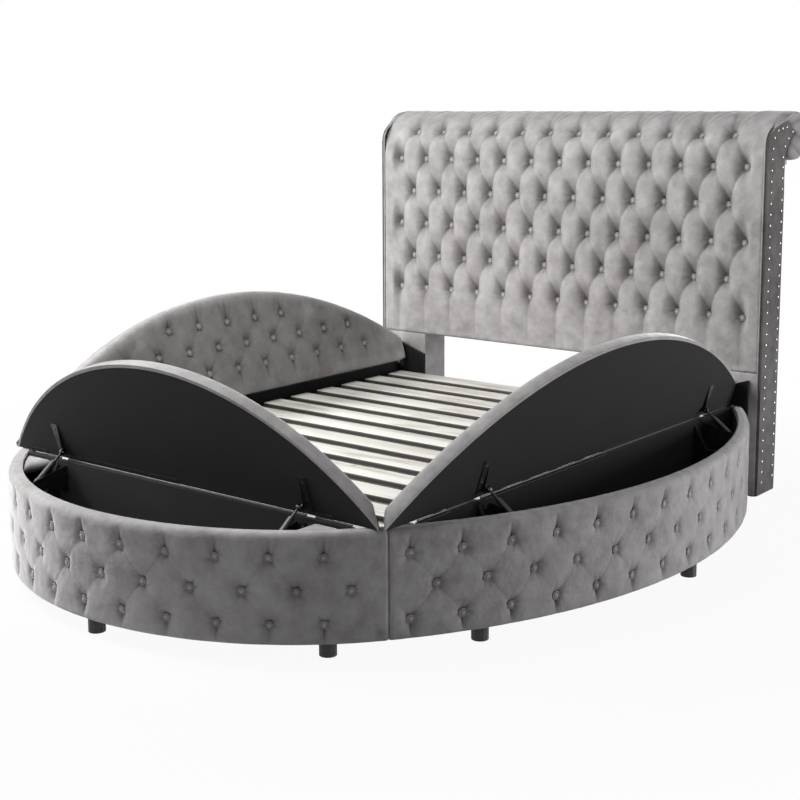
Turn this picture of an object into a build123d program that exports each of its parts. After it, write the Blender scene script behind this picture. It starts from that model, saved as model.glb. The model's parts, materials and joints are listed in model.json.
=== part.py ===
from build123d import *
import os
from dataclasses import dataclass
from math import asin, atan2, cos, hypot, pi, radians, sin, sqrt

os.makedirs("parts", exist_ok=True)

# Plan of the bed, in millimetres. The foot hinge line and the two side hinge lines bound the mattress well.
well_width = 1570
well_length = 2055
foot_reach = 370
side_bulge = 350
side_middle = 1075
seam_inset = 1
seam_setback = 24
seam_gap = 0.8
head_end_gap = 10

# Heights over the floor
hinge_height = 355
wall_bottom = 50

# Board and foam thicknesses
board = 16
floor_board = 12
wall_foam = 28
rim_foam = 14
fit_gap = 0.3

# Curved walls: quilting over the foam
wall_button_pitch_foot = 147
wall_button_pitch_side = 150
wall_first_button_side = 60
wall_row_heights = (105, 197, 289)
wall_dimple = 11
wall_button_margin = 45
wall_fold = 5
hem_height = 20
hem_draw = 8
rim_shoulder_height = 30
rim_shoulder_draw = 6
rim_edge_height = 8
rim_flat_draw = 18

# Continuous hinges
knuckle_radius = 3
hinge_pin_radius = 1.5
pin_running_gap = 0.05
leaf = 1.2
leaf_air = 0.25
leaf_width = 15
hinge_break = 34
hinge_end_margin = 14

# Lids
lid_open_angle = 72
foot_lid_half_chord = 775
foot_lid_rise = 392
side_lid_half_chord = 1085
side_lid_rise = 400
lid_seam_margin = 5
lid_board = 15
lid_foam = 40
lid_edge_rise = 13
lid_shoulder_rise = 28
lid_edge_draw = 2
lid_shoulder_draw = 10
lid_crown_draw = 36
lid_button_rows = (105, 197, 289)
lid_dimple = 14
lid_fold = 5
lid_pleat_run = 50
lid_button_margin = 62
side_lid_button_shift = 102
overrun = 20

# Covered buttons
button_radius = 12
button_crown = 5
button_sides = 6

# Flats that small round bars and feet are drawn with
pin_sides = 8
strut_sides = 12
foot_sides = 12

# Gas struts and their steel parts, in the plane across the hinge line
foot_strut_place = 508
side_strut_places = (-634, 715)
upper_pin_reach = 33
upper_pin_drop = 13
lower_pin_out = 134
lower_pin_height = 303
strut_rest_lean = -1.3
strut_rest_short = 3.1
tube_radius = 9
tube_start = 14
tube_end = 94
tube_bore_depth = 50
rod_radius = 4
rod_running_gap = 0.08
rod_hold = 14
eye_radius = 9
eye_bore_radius = 7.1
eye_width = 9
upper_pin_radius = 2.5
lower_pin_radius = 4
tongue_thickness = 6
tongue_radius = 9
steel = 3
arm_length = 125
arm_start = 20
arm_width = 28
arm_web_gap = 2
arm_web_depth = 20
arm_web_start = 22
arm_web_end = 42
bracket_flange_low = 262
bracket_flange_top = 340
bracket_flange_width = 30
bracket_tip = 12
bracket_side_gap = 1

# Inside of the boxes
divider_places_foot = (-545, 545)
divider_places_side = (-671, 647)
divider_drop = 9
divider_slope_out = 67
divider_shoulder_height = 258
corner_pad_depth = 34
corner_pad_crown = 8
corner_pad_lid_gap = 4

# Feet
foot_radius = 25
foot_box_feet = ((0, 322), (632, 53), (-632, 53), (0, 60))
side_box_feet = ((-779, 101), (66, 304), (775, 101), (0, 60))

# Mattress support
slat_count = 13
slat_width = 95
slat_thickness = 20
slat_top = 318
slat_pitch = 154
slat_head_margin = 93
slat_end_gap = 32
ledger_width = 50
ledger_depth = 45
centre_rail_width = 35
centre_rail_depth = 60
centre_leg_radius = 22
centre_leg_places = (400, 1075, 1700)
crossrail_width = 32

# Headboard, with y measured from its front face
headboard_width = 1794
end_panel = 12
headboard_underside = 482
front_curve_height = 1245
front_curve_radius = 195
roll_radius = 90
headboard_depth = 147
back_pad = 17
headboard_foam = 45
core_flats = 5
tuft_pitch = 134
tuft_rows = 6
tuft_columns = 12
tuft_first_row = 682
tuft_row_pitch = 139
tuft_fold = 20
tuft_button_extra = 16
tuft_fold_power_share = 0.5
seam_draw = 14
lower_pleat_heights = (520, 590)
pleat_depth = 9
tuft_button_radius = 14
tuft_button_height = 16
tuft_border_rise = 40
roll_end_bulge = 25
roll_end_dome = 420
roll_end_centre = (150, 1340)

# End panels: a scroll outline with its beak to the rear
panel_front = 2
panel_shoulder = ((2, 1308), (14, 1352), (49, 1378))
panel_crest = (150, 1407)
panel_beak = (228, 1362)
panel_throat = (172, 1313)
panel_nape = (147, 1260)

# Decorative nails on the end panels
nail_radius = 5
nail_crown = 3
nail_pitch = 40
nail_lowest = 60
nail_front_line = 32
nail_rear_line = 125
nail_front_top = 1268
nail_rear_top = 1237
nail_scroll = (
    (37, 1306), (47, 1345), (76, 1371), (112, 1378), (150, 1383),
    (202, 1365), (167, 1341), (137, 1313), (123, 1274),
)

# Headboard legs and the boards that the side boxes are bolted to
leg_inner = 660
glide_height = 20
glide_radius = 18
glide_inset = 40
mount_board = 14
mount_board_outer = 850
mount_board_low = 95
mount_board_outer_top = 455
mount_board_inner_top = 395

half_well = well_width / 2
half_headboard = headboard_width / 2
head_reach = front_curve_radius + roll_radius
total_length = foot_reach + well_length + head_reach
foot_line = foot_reach - total_length / 2
head_face = foot_line + well_length
lid_underside = hinge_height + leaf_air + leaf
rim_top = lid_underside - fit_gap
inner_wall_top = hinge_height - leaf_air - leaf
inner_wall_near = knuckle_radius + fit_gap
inner_wall_far = inner_wall_near + board
box_head_end = well_length - (mount_board - panel_front) - side_middle


def arc_radius(half_chord, rise):
    return (half_chord**2 + rise**2) / (2 * rise)


@dataclass
class StorageBox:
    # Local axes: u along the hinge line, o outwards from it, z up
    radius: float
    centre: float
    seam_angle: float
    square_end: float
    pitch: float
    first_column: float
    dividers: tuple
    struts: tuple
    feet: tuple
    lid_half: float
    lid_rise: float
    lid_low: float
    lid_square_end: float
    lid_button_shift: float


foot_radius_of_wall = arc_radius(half_well - seam_inset, foot_reach + seam_setback)
side_half_chord = side_middle - seam_setback
side_radius_of_wall = arc_radius(side_half_chord, side_bulge)

foot_box = StorageBox(
    radius=foot_radius_of_wall,
    centre=foot_reach - foot_radius_of_wall,
    seam_angle=asin((half_well - seam_inset) / foot_radius_of_wall),
    square_end=0,
    pitch=wall_button_pitch_foot,
    first_column=0,
    dividers=divider_places_foot,
    struts=(-foot_strut_place, foot_strut_place),
    feet=foot_box_feet,
    lid_half=foot_lid_half_chord,
    lid_rise=foot_lid_rise,
    lid_low=-foot_lid_half_chord,
    lid_square_end=0,
    lid_button_shift=0,
)
side_box = StorageBox(
    radius=side_radius_of_wall,
    centre=side_bulge - seam_inset - side_radius_of_wall,
    seam_angle=asin(side_half_chord / side_radius_of_wall),
    square_end=box_head_end,
    pitch=wall_button_pitch_side,
    first_column=wall_first_button_side,
    dividers=divider_places_side,
    struts=side_strut_places,
    feet=side_box_feet,
    lid_half=side_lid_half_chord,
    lid_rise=side_lid_rise,
    lid_low=lid_seam_margin - side_middle,
    lid_square_end=box_head_end - head_end_gap,
    lid_button_shift=side_lid_button_shift,
)

foot_frame = Location(Plane(origin=(0, foot_line, 0), x_dir=(-1, 0, 0), z_dir=(0, 0, 1)))
left_frame = Location(Plane(origin=(-half_well, foot_line + side_middle, 0), x_dir=(0, 1, 0), z_dir=(0, 0, 1)))


def save(name, pieces):
    solids = [solid for piece in pieces for solid in piece.solids()]
    shape = solids[0] if len(solids) == 1 else Compound(children=solids)
    shape.label = name
    export_step(shape, f"parts/{name}.step")


def in_foot(pieces):
    return [foot_frame * piece for piece in pieces]


def in_left(pieces):
    return [left_frame * piece for piece in pieces]


def in_right(pieces):
    return [mirror(piece, about=Plane.YZ) for piece in in_left(pieces)]


def save_per_box(name, maker):
    save(f"foot_{name}", in_foot(maker(foot_box)))
    side = maker(side_box)
    save(f"left_{name}", in_left(side))
    save(f"right_{name}", in_right(side))


def save_shared(name, maker):
    side = maker(side_box)
    save(name, in_foot(maker(foot_box)) + in_left(side) + in_right(side))


# Faceted solids for quilted covers

def polygon(points):
    return Face(Wire.make_polygon([Vector(*p) for p in points], close=True))


def is_flat(a, b, c, d):
    ab, ac, ad = (Vector(*q) - Vector(*a) for q in (b, c, d))
    return abs(ab.cross(ac).dot(ad)) < ab.length * ac.length * ad.length * 1e-6


def cell_faces(a, b, c, d, cut_a_to_c):
    if is_flat(a, b, c, d):
        return [polygon((a, b, c, d))]
    if cut_a_to_c:
        return [polygon((a, b, c)), polygon((a, c, d))]
    return [polygon((a, b, d)), polygon((b, c, d))]


def quilted_solid(sections, depths, folded):
    # Folded cells crease along their deeper diagonal, the others stay round the buttons' dimples
    faces = [polygon(sections[0]), polygon(sections[-1])]
    for left, right, left_deep, right_deep in zip(sections, sections[1:], depths, depths[1:]):
        for j in range(len(left)):
            k = (j + 1) % len(left)
            lean = left_deep[j] + right_deep[k] - right_deep[j] - left_deep[k]
            cut = lean > 0 if folded else lean < 0
            faces += cell_faces(left[j], right[j], right[k], left[k], cut)
    return Solid(Shell(faces))


def ring_points(radius, height):
    turns = [2 * pi * k / button_sides for k in range(button_sides)]
    return [(radius * cos(t), radius * sin(t), height) for t in turns]


def pointed_button(radius, crown):
    return loft([polygon(ring_points(radius, 0)), Vertex(0, 0, crown)], ruled=True)


def shanked_button(radius, height):
    # A flat-topped button that tapers down to its shank
    return loft([Vertex(0, 0, 0), polygon(ring_points(radius, height))], ruled=True)


def round_pin(radius, length):
    return Cylinder(radius, length, align=(Align.CENTER, Align.CENTER, Align.MIN))


def bar(radius, length, sides):
    # A round bar inside its radius
    return extrude(RegularPolygon(radius, sides), amount=length)


def bore(radius, length, sides):
    # A round hole's cutter outside its radius
    return extrude(RegularPolygon(radius, sides, major_radius=False), amount=length)


# Curved walls

def on_wall(box, radius, angle):
    return (radius * sin(angle), box.centre + radius * cos(angle))


def wall_angles(box, radius):
    seam = box.seam_angle - seam_gap / 2 / box.radius
    return -seam, asin(box.square_end / radius) if box.square_end else seam


def wall_band(box, inner, outer):
    low_out, high_out = wall_angles(box, outer)
    low_in, high_in = wall_angles(box, inner)
    a, b, c = (on_wall(box, outer, t) for t in (low_out, (low_out + high_out) / 2, high_out))
    d, e, f = (on_wall(box, inner, t) for t in (high_in, (low_in + high_in) / 2, low_in))
    return make_face([ThreePointArc(a, b, c), Line(c, d), ThreePointArc(d, e, f), Line(f, a)])


def curved_wall(box):
    outer = box.radius - wall_foam
    height = rim_top - rim_foam - wall_bottom
    return [Pos(0, 0, wall_bottom) * extrude(wall_band(box, outer - board, outer), amount=height)]


def wall_columns(box):
    # Places along the outer face, each with its kind: buttons in the outer rows (0), in the middle row (1) or none (2)
    low, high = (t * box.radius for t in wall_angles(box, box.radius))
    start = 0 if not box.first_column else low + box.first_column
    half = box.pitch / 2
    first = -int((start - low) / half - 1 / 4)
    last = int((high - start) / half - 1 / 4)
    places = [(start + k * half, k % 2) for k in range(first, last + 1)]
    clear = (low + wall_button_margin, high - wall_button_margin)
    return [(place, row if clear[0] < place < clear[1] else 2) for place, row in places]


def wall_cover(box):
    columns = [(-1, None)] + wall_columns(box) + [(1, None)]
    z0, z1, z2 = wall_row_heights
    heights = (wall_bottom, wall_bottom + hem_height, z0, z1, z2, rim_top - rim_shoulder_height,
               rim_top - rim_edge_height, rim_top)
    step = wall_foam + board
    back = ((rim_top, step), (rim_top - rim_foam, step), (rim_top - rim_foam, wall_foam), (wall_bottom, wall_foam))
    relief = back_relief(box)
    sections, depths = [], []
    for place, parity in columns:
        edge = hem_draw if parity is None else 0
        fold = wall_fold if parity == 0 else edge
        outer = wall_dimple if parity == 0 else edge
        middle = wall_dimple if parity == 1 else edge
        deep = (hem_draw, fold, outer, middle, outer, fold, rim_shoulder_draw + edge, rim_flat_draw)
        profile = [(z, box.radius - d) for z, d in zip(heights, deep)]
        profile += [(z, box.radius - d + relief) for z, d in back]
        section = []
        for z, radius in profile:
            angle = wall_angles(box, radius)[place > 0] if parity is None else place / box.radius
            section.append((*on_wall(box, radius, angle), z))
        sections.append(section)
        depths.append(deep + tuple(d for _, d in back))
    return [quilted_solid(sections, depths, folded=False)]


def back_relief(box):
    # The cover's back follows chords, so it stands off the round board by the chords' rise and a fit gap
    return (box.pitch / 2) ** 2 / (8 * (box.radius - wall_foam)) + fit_gap


def button_seat(box, dimple, rows):
    # A button's rim rests on the sides of its dimple, so its base stays a little above the deepest point
    slope = dimple * hypot(2 / box.pitch, 1 / (rows[1] - rows[0]))
    return dimple - slope * button_radius - fit_gap / 2


def wall_buttons(box):
    buttons = []
    depth = button_seat(box, wall_dimple, wall_row_heights)
    for place, parity in wall_columns(box):
        angle = place / box.radius
        rows = (wall_row_heights[0::2], wall_row_heights[1::2], ())[parity]
        for z in rows:
            u, o = on_wall(box, box.radius - depth, angle)
            seat = Plane(origin=(u, o, z), x_dir=(0, 0, 1), z_dir=(sin(angle), cos(angle), 0))
            buttons.append(seat * pointed_button(button_radius, button_crown))
    return buttons


# Straight boards inside the boxes

def wall_inner_radius(box):
    return box.radius - wall_foam - board - fit_gap


def reach_along(box, out):
    return sqrt(wall_inner_radius(box) ** 2 - (out - box.centre) ** 2)


def reach_out(box, along):
    return box.centre + sqrt(wall_inner_radius(box) ** 2 - along**2)


def board_ends(box, out):
    reach = reach_along(box, out)
    return -reach, reach


def block(low, high):
    size = [b - a for a, b in zip(low, high)]
    return Pos(*low) * Box(*size, align=(Align.MIN, Align.MIN, Align.MIN))


def inner_wall(box):
    low, high = board_ends(box, inner_wall_far)
    return [block((low, inner_wall_near, wall_bottom), (high, inner_wall_far, inner_wall_top))]


def box_floor(box):
    near = inner_wall_far + fit_gap
    low, high = board_ends(box, near)
    middle = (0, box.centre + wall_inner_radius(box))
    face = make_face([ThreePointArc((low, near), middle, (high, near)), Line((high, near), (low, near))])
    return [Pos(0, 0, wall_bottom) * extrude(face, amount=floor_board)]


def across(u, thickness, points):
    # A board square to the hinge line, drawn in the plane of o and z
    face = Plane(origin=(u, 0, 0), x_dir=(0, 1, 0), z_dir=(1, 0, 0)) * make_face(Polyline(*points, close=True))
    return extrude(face, amount=thickness)


def dividers(box):
    boards = []
    near = inner_wall_far + fit_gap
    bottom = wall_bottom + floor_board
    for place in box.dividers:
        far = reach_out(box, abs(place) + board / 2) - fit_gap
        outline = ((near, bottom), (near, inner_wall_top - divider_drop), (divider_slope_out, divider_shoulder_height),
                   (far, divider_shoulder_height), (far, bottom))
        boards.append(across(place - board / 2, board, outline))
    return boards


def corner_pads(box):
    # Puffed triangles that close the foot box's corners under the lid
    top = lid_underside - corner_pad_lid_gap
    start = box.dividers[1] + board
    near = inner_wall_far + fit_gap
    radius = wall_inner_radius(box) - fit_gap

    def outline(inset, z):
        low, out = start + inset, near + inset
        r = radius - inset
        tip = sqrt(r**2 - (out - box.centre) ** 2)
        crest = box.centre + sqrt(r**2 - low**2)
        bend = (low + tip) / 2
        side = box.centre + sqrt(r**2 - bend**2)
        edges = [Line((low, out), (tip, out)), ThreePointArc((tip, out), (bend, side), (low, crest)),
                 Line((low, crest), (low, out))]
        return Pos(0, 0, z) * make_face(edges)

    levels = ((0, top - corner_pad_depth), (0, top - corner_pad_crown), (corner_pad_crown, top))
    pad = loft([outline(inset, z) for inset, z in levels], ruled=True)
    return [pad, mirror(pad, about=Plane.YZ)]


# Continuous hinges, in strips between the lift mechanisms

def arm_middle(place):
    side = 1 if place > 0 else -1
    return place + side * (eye_width / 2 + arm_web_gap + arm_width / 2)


def hinge_strips(box):
    low, high = board_ends(box, inner_wall_far)
    breaks = [arm_middle(place) for place in box.struts]
    starts = [low + hinge_end_margin] + [b + hinge_break / 2 for b in breaks]
    ends = [b - hinge_break / 2 for b in breaks] + [high - hinge_end_margin]
    return list(zip(starts, ends))


def rolled_leaf(low, high, up):
    # One leaf with its rolled knuckle, up for the lid's leaf and down for the wall's
    face_z = hinge_height + (leaf_air if up else -leaf_air - leaf)
    plate = block((low, 0, face_z), (high, knuckle_radius + leaf_width, face_z + leaf))
    barrel_place = Plane(origin=(low, 0, hinge_height), x_dir=(0, 1, 0), z_dir=(1, 0, 0))
    barrel = barrel_place * bar(knuckle_radius, high - low, pin_sides)
    hole = barrel_place * bore(hinge_pin_radius + pin_running_gap, high - low, pin_sides)
    return plate + barrel - hole


def hinge_wall_leaves(box):
    return [rolled_leaf(low, (low + high) / 2 - fit_gap, up=False) for low, high in hinge_strips(box)]


def hinge_lid_leaves(box):
    leaves = [rolled_leaf((low + high) / 2 + fit_gap, high, up=True) for low, high in hinge_strips(box)]
    return [opened(piece) for piece in leaves]


def hinge_pins(box):
    # The long middle pin is drawn round, the two outer ones with flats
    pins = []
    for k, (low, high) in enumerate(hinge_strips(box)):
        place = Plane(origin=(low, 0, hinge_height), x_dir=(0, 1, 0), z_dir=(1, 0, 0))
        length = high - low
        pin = round_pin(hinge_pin_radius, length) if k == 1 else bar(hinge_pin_radius, length, pin_sides)
        pins.append(place * pin)
    return pins


# Lids, drawn closed and turned open about the hinge line

def opened(piece):
    return piece.rotate(Axis((0, 0, hinge_height), (1, 0, 0)), lid_open_angle)


def lid_outline(box, inset, z):
    full = arc_radius(box.lid_half, box.lid_rise)
    centre = box.lid_rise - full
    radius = full - inset
    near = inner_wall_near + inset
    low = -sqrt(radius**2 - (near - centre) ** 2)
    high = box.lid_square_end - inset if box.lid_square_end else -low
    far_out = centre + sqrt(radius**2 - high**2)
    edges = [ThreePointArc((low, near), (0, centre + radius), (high, far_out)), Line((high, near), (low, near))]
    if box.lid_square_end:
        edges.insert(1, Line((high, far_out), (high, near)))
    return Pos(0, 0, z) * make_face(edges)


def mitred(box, piece):
    # The tips lean back so that neighbouring lids clear each other at the corners of the well
    deep = lid_board + lid_foam + overrun
    wedge = make_face(Polyline((box.lid_low, hinge_height), (box.lid_low + deep, hinge_height + deep),
                               (box.lid_low - deep, hinge_height + deep), (box.lid_low - deep, hinge_height),
                               close=True))
    tip_cut = extrude(Plane(origin=(0, -deep, 0), x_dir=(1, 0, 0), z_dir=(0, -1, 0)) * wedge, amount=-4 * deep)
    piece = piece - tip_cut
    return piece if box.lid_square_end else piece - mirror(tip_cut, about=Plane.YZ)


def lid_panel(box):
    panel = extrude(lid_outline(box, 0, lid_underside), amount=lid_board)
    return [opened(mitred(box, panel))]


def lid_columns(box):
    half = box.pitch / 2
    count = int((box.lid_half + box.pitch) / half)
    return [(box.lid_button_shift + k * half, k % 2) for k in range(-count - 1, count + 1)]


def inside_lid(box, u, o):
    full = arc_radius(box.lid_half, box.lid_rise)
    far = hypot(u, o - box.lid_rise + full) < full - lid_button_margin
    high = box.lid_square_end if box.lid_square_end else -box.lid_low
    return far and box.lid_low + lid_button_margin < u < high - lid_button_margin


def lid_quilt(box):
    top = lid_underside + lid_board + lid_foam
    o0, o1, o2 = lid_button_rows
    rows = (-overrun, o0 - lid_pleat_run, o0, o1, o2, o2 + lid_pleat_run, box.lid_rise + overrun)
    floor = lid_underside
    sections, depths = [], []
    for u, parity in lid_columns(box):
        deep = []
        for index, o in enumerate(rows):
            row = index - 2
            if 0 <= row <= 2:
                pulled = row % 2 == parity and inside_lid(box, u, o)
                deep.append(lid_dimple if pulled else 0)
            else:
                deep.append(lid_fold if parity == 0 else 0)
        section = [(u, o, top - d) for o, d in zip(rows, deep)]
        section += [(u, rows[-1], floor), (u, rows[0], floor)]
        sections.append(section)
        depths.append(deep + [0, 0])
    return quilted_solid(sections, depths, folded=False)


def lid_cushion(box):
    seat = lid_underside + lid_board
    levels = ((lid_edge_draw, seat), (0, seat + lid_edge_rise), (lid_shoulder_draw, seat + lid_shoulder_rise),
              (lid_crown_draw, seat + lid_foam + overrun / 4))
    body = loft([lid_outline(box, inset, z) for inset, z in levels], ruled=True)
    return [opened(mitred(box, body & lid_quilt(box)))]


def lid_buttons(box):
    seat = lid_underside + lid_board + lid_foam - button_seat(box, lid_dimple, lid_button_rows)
    buttons = []
    for u, parity in lid_columns(box):
        for row, o in enumerate(lid_button_rows):
            if row % 2 == parity and inside_lid(box, u, o):
                button = Pos(u, o, seat) * pointed_button(button_radius, button_crown)
                buttons.append(opened(button))
    return buttons


# Lift mechanisms: an arm on the lid, a bracket on the inner wall and a gas strut between their pins

def at_struts(box, maker):
    # Pairs are handed: the mechanism at a negative place is the mirror image of one at the positive place
    pieces = []
    for place in box.struts:
        piece = maker(abs(place))
        pieces.append(piece if place > 0 else mirror(piece, about=Plane.YZ))
    return pieces


def cross_place(u, o, z):
    return Plane(origin=(u, o, z), x_dir=(0, 1, 0), z_dir=(1, 0, 0))


def lid_arm(place):
    web_low = place + eye_width / 2 + arm_web_gap
    under = lid_underside
    flange = block((web_low, arm_start, under - steel), (web_low + arm_width, arm_length, under))
    web = across(web_low, steel, (
        (arm_web_start, under), (arm_web_start, hinge_height - arm_web_depth / 2),
        (upper_pin_reach - tongue_radius / 2, hinge_height - arm_web_depth),
        (upper_pin_reach + tongue_radius / 2, hinge_height - arm_web_depth),
        (arm_web_end, hinge_height - arm_web_depth / 2),
        (arm_length - tongue_radius, under - steel), (arm_length - tongue_radius, under)))
    pin_low = place - eye_width / 2 - arm_web_gap
    pin = cross_place(pin_low, upper_pin_reach, hinge_height - upper_pin_drop)
    pin = pin * bar(upper_pin_radius, web_low - pin_low, pin_sides)
    return opened(flange + web + pin)


def lid_arms(box):
    return at_struts(box, lid_arm)


def strut_bracket(place):
    side = place - tube_radius - bracket_side_gap - steel
    flange = block((side, inner_wall_far, bracket_flange_low),
                   (side + bracket_flange_width, inner_wall_far + steel, bracket_flange_top))
    near = inner_wall_far
    plate = across(side, steel, (
        (near, bracket_flange_low), (near, bracket_flange_top), (near + bracket_tip, bracket_flange_top),
        (lower_pin_out + bracket_tip, lower_pin_height + bracket_tip),
        (lower_pin_out + bracket_tip, lower_pin_height - bracket_tip)))
    pin_low = side + steel
    pin = round_pin(lower_pin_radius, place + tongue_thickness - pin_low)
    return flange + plate + cross_place(pin_low, lower_pin_out, lower_pin_height) * pin


def strut_brackets(box):
    return at_struts(box, strut_bracket)


def open_upper_pin():
    turn = radians(lid_open_angle)
    return (upper_pin_reach * cos(turn) + upper_pin_drop * sin(turn),
            hinge_height + upper_pin_reach * sin(turn) - upper_pin_drop * cos(turn))


def strut_line():
    # Direction and pivot length of the strut with the lid open
    out, height = open_upper_pin()
    rise, run = height - lower_pin_height, out - lower_pin_out
    return atan2(rise, run) + radians(strut_rest_lean), hypot(rise, run) - strut_rest_short


def along_strut(place):
    angle, _ = strut_line()
    return Plane(origin=(place, lower_pin_out, lower_pin_height), x_dir=(1, 0, 0), z_dir=(0, cos(angle), sin(angle)))


def across_strut(piece, width, height):
    # Turns a bar or cutter square to the strut and centres it at a height along it
    return Pos(-width / 2, 0, height) * Rot(0, 90, 0) * piece


def strut_tube(place):
    body = Pos(0, 0, tube_start) * bar(tube_radius, tube_end - tube_start, strut_sides)
    tongue = across_strut(bar(tongue_radius, tongue_thickness, strut_sides), tongue_thickness, 0)
    neck = block((-tongue_thickness / 2, -tongue_radius, 0), (tongue_thickness / 2, tongue_radius, tube_start))
    hollow = bore(rod_radius + rod_running_gap, tube_bore_depth, strut_sides)
    hollow = Pos(0, 0, tube_end - tube_bore_depth) * hollow
    hole = bore(lower_pin_radius + pin_running_gap, tongue_thickness, strut_sides)
    hole = across_strut(hole, tongue_thickness, 0)
    return along_strut(place) * (body + tongue + neck - hollow - hole)


def strut_rod(place):
    _, length = strut_line()
    start = tube_end - rod_hold
    shaft = Pos(0, 0, start) * bar(rod_radius, length - start, strut_sides)
    ring = across_strut(bar(eye_radius, eye_width, strut_sides), eye_width, length)
    hole = across_strut(bore(eye_bore_radius, eye_width, strut_sides), eye_width, length)
    return along_strut(place) * (shaft + ring - hole)


def save_struts(name, maker):
    foot = at_struts(foot_box, maker)
    side = at_struts(side_box, maker)
    left, right = in_left(side), in_right(side)
    foot_low, foot_high = in_foot(foot)
    save(f"foot_strut_{name}_right", [foot_low])
    save(f"foot_strut_{name}_left", [foot_high])
    for hand, pieces in (("left", left), ("right", right)):
        for end, piece in zip(("foot_end", "head_end"), pieces):
            save(f"{hand}_strut_{name}_{end}", [piece])


# Feet and mattress support

def box_feet(box):
    return [Pos(u, o, 0) * bar(foot_radius, wall_bottom, foot_sides) for u, o in box.feet]


def slats():
    last = head_face - slat_head_margin
    half = half_well + inner_wall_near - slat_end_gap
    low = slat_top - slat_thickness
    places = [last - k * slat_pitch for k in range(slat_count)]
    return [block((-half, y - slat_width / 2, low), (half, y + slat_width / 2, slat_top)) for y in places]


def slat_ledgers():
    top = slat_top - slat_thickness
    outer = half_well + inner_wall_near
    low, _ = board_ends(side_box, inner_wall_far)
    start = foot_line + side_middle + low
    end = head_face - (mount_board - panel_front) - crossrail_width
    ledger = block((outer - ledger_width, start, top - ledger_depth), (outer, end, top))
    return [ledger, mirror(ledger, about=Plane.YZ)]


def centre_rail():
    top = slat_top - slat_thickness
    half = centre_rail_width / 2
    start = foot_line - inner_wall_near
    end = head_face - (mount_board - panel_front) - crossrail_width
    return [block((-half, start, top - centre_rail_depth), (half, end, top))]


def centre_legs():
    top = slat_top - slat_thickness - centre_rail_depth
    return [Pos(0, foot_line + y, 0) * bar(centre_leg_radius, top, foot_sides) for y in centre_leg_places]


def head_crossrail():
    top = slat_top - slat_thickness
    half = half_well + inner_wall_near
    end = head_face - (mount_board - panel_front)
    return [block((-half, end - crossrail_width, top - centre_rail_depth), (half, end, top))]


# Headboard, drawn as profiles in y and z and run along x

def along_x(face, low, high):
    placed = Plane(origin=(low, head_face, 0), x_dir=(0, 1, 0), z_dir=(1, 0, 0)) * face
    return extrude(placed, amount=high - low)


def front_point(height, depth):
    # Point at a height along the front cover's surface, which bends rearwards over the front curve
    bend = (height - front_curve_height) / front_curve_radius
    if bend <= 0:
        return depth, height
    radius = front_curve_radius - depth
    return front_curve_radius - radius * cos(bend), front_curve_height + radius * sin(bend)


def tuft_depth(x, height):
    across_pitch = x / tuft_pitch
    up_pitch = (height - tuft_first_row) / tuft_row_pitch / 2
    p, q = abs(sin(pi * (across_pitch + up_pitch))), abs(sin(pi * (across_pitch - up_pitch)))
    return tuft_fold * (1 - (p * q) ** tuft_fold_power_share) + tuft_button_extra * (1 - p) * (1 - q)


def headboard_heights():
    last = tuft_first_row + (tuft_rows - 1) * tuft_row_pitch
    crest = front_curve_height + front_curve_radius * pi / 2
    rows = [tuft_first_row + k * tuft_row_pitch / 2 for k in range(2 * tuft_rows - 1)]
    over = [last + (crest - last) * share for share in (1 / 3, 2 / 3, 1)]
    return [headboard_underside, *lower_pleat_heights], rows, over


def core_heights():
    # The core's curved shoulder is built up from flats, which the cover's back follows
    crest = front_curve_height + front_curve_radius * pi / 2
    steps = range(core_flats + 1)
    return [crest - (crest - front_curve_height) * k / core_flats for k in steps] + [headboard_underside]


def headboard_depth_at(x, height):
    # Depth of the cover under its crown line: folds between the buttons, pleats below and gathers above them
    below, rows, over = headboard_heights()
    edge = tuft_columns * tuft_pitch / 2
    if abs(x) > edge:
        return seam_draw if abs(x) > edge + tuft_border_rise else 0
    if height <= headboard_underside:
        return seam_draw
    if height < rows[0]:
        return pleat_depth * (1 - abs(sin(pi * x / tuft_pitch)))
    if height <= rows[-1]:
        return tuft_depth(x, height)
    fade = (over[-1] - height) / (over[-1] - rows[-1])
    return pleat_depth * fade * (1 - abs(cos(pi * x / tuft_pitch)))


def tufted_front():
    below, rows, over = headboard_heights()
    heights = below + rows + over
    quarter = tuft_pitch / 4
    inner = [k * quarter for k in range(-2 * tuft_columns, 2 * tuft_columns + 1)]
    rim = half_headboard - end_panel
    border = inner[-1] + tuft_border_rise
    columns = [-rim, -border] + inner + [border, rim]
    back_heights = core_heights()
    sections, depths = [], []
    for x in columns:
        deep = [headboard_depth_at(x, h) for h in heights]
        deep[-1] = 0
        points = [front_point(h, d) for h, d in zip(heights, deep)]
        points += [front_point(h, headboard_foam) for h in back_heights]
        sections.append([(x, head_face + y, z) for y, z in points])
        depths.append(deep + [0] * len(back_heights))
    return quilted_solid(sections, depths, folded=True)


def roll_ring(outer, inner):
    centre = (front_curve_radius, front_curve_height + front_curve_radius - roll_radius)
    y, z = centre
    arcs = [ThreePointArc((y, z + r), (y + r, z), (y, z - r)) for r in (outer, inner)]
    joins = [Line((y, z + outer), (y, z + inner)), Line((y, z - outer), (y, z - inner))]
    return make_face([arcs[0], joins[1], arcs[1], joins[0]])


def headboard_tufted_panel():
    rim = half_headboard - end_panel
    roll = along_x(roll_ring(roll_radius, roll_radius - headboard_foam), -rim, rim)
    return [tufted_front() + roll]


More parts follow.
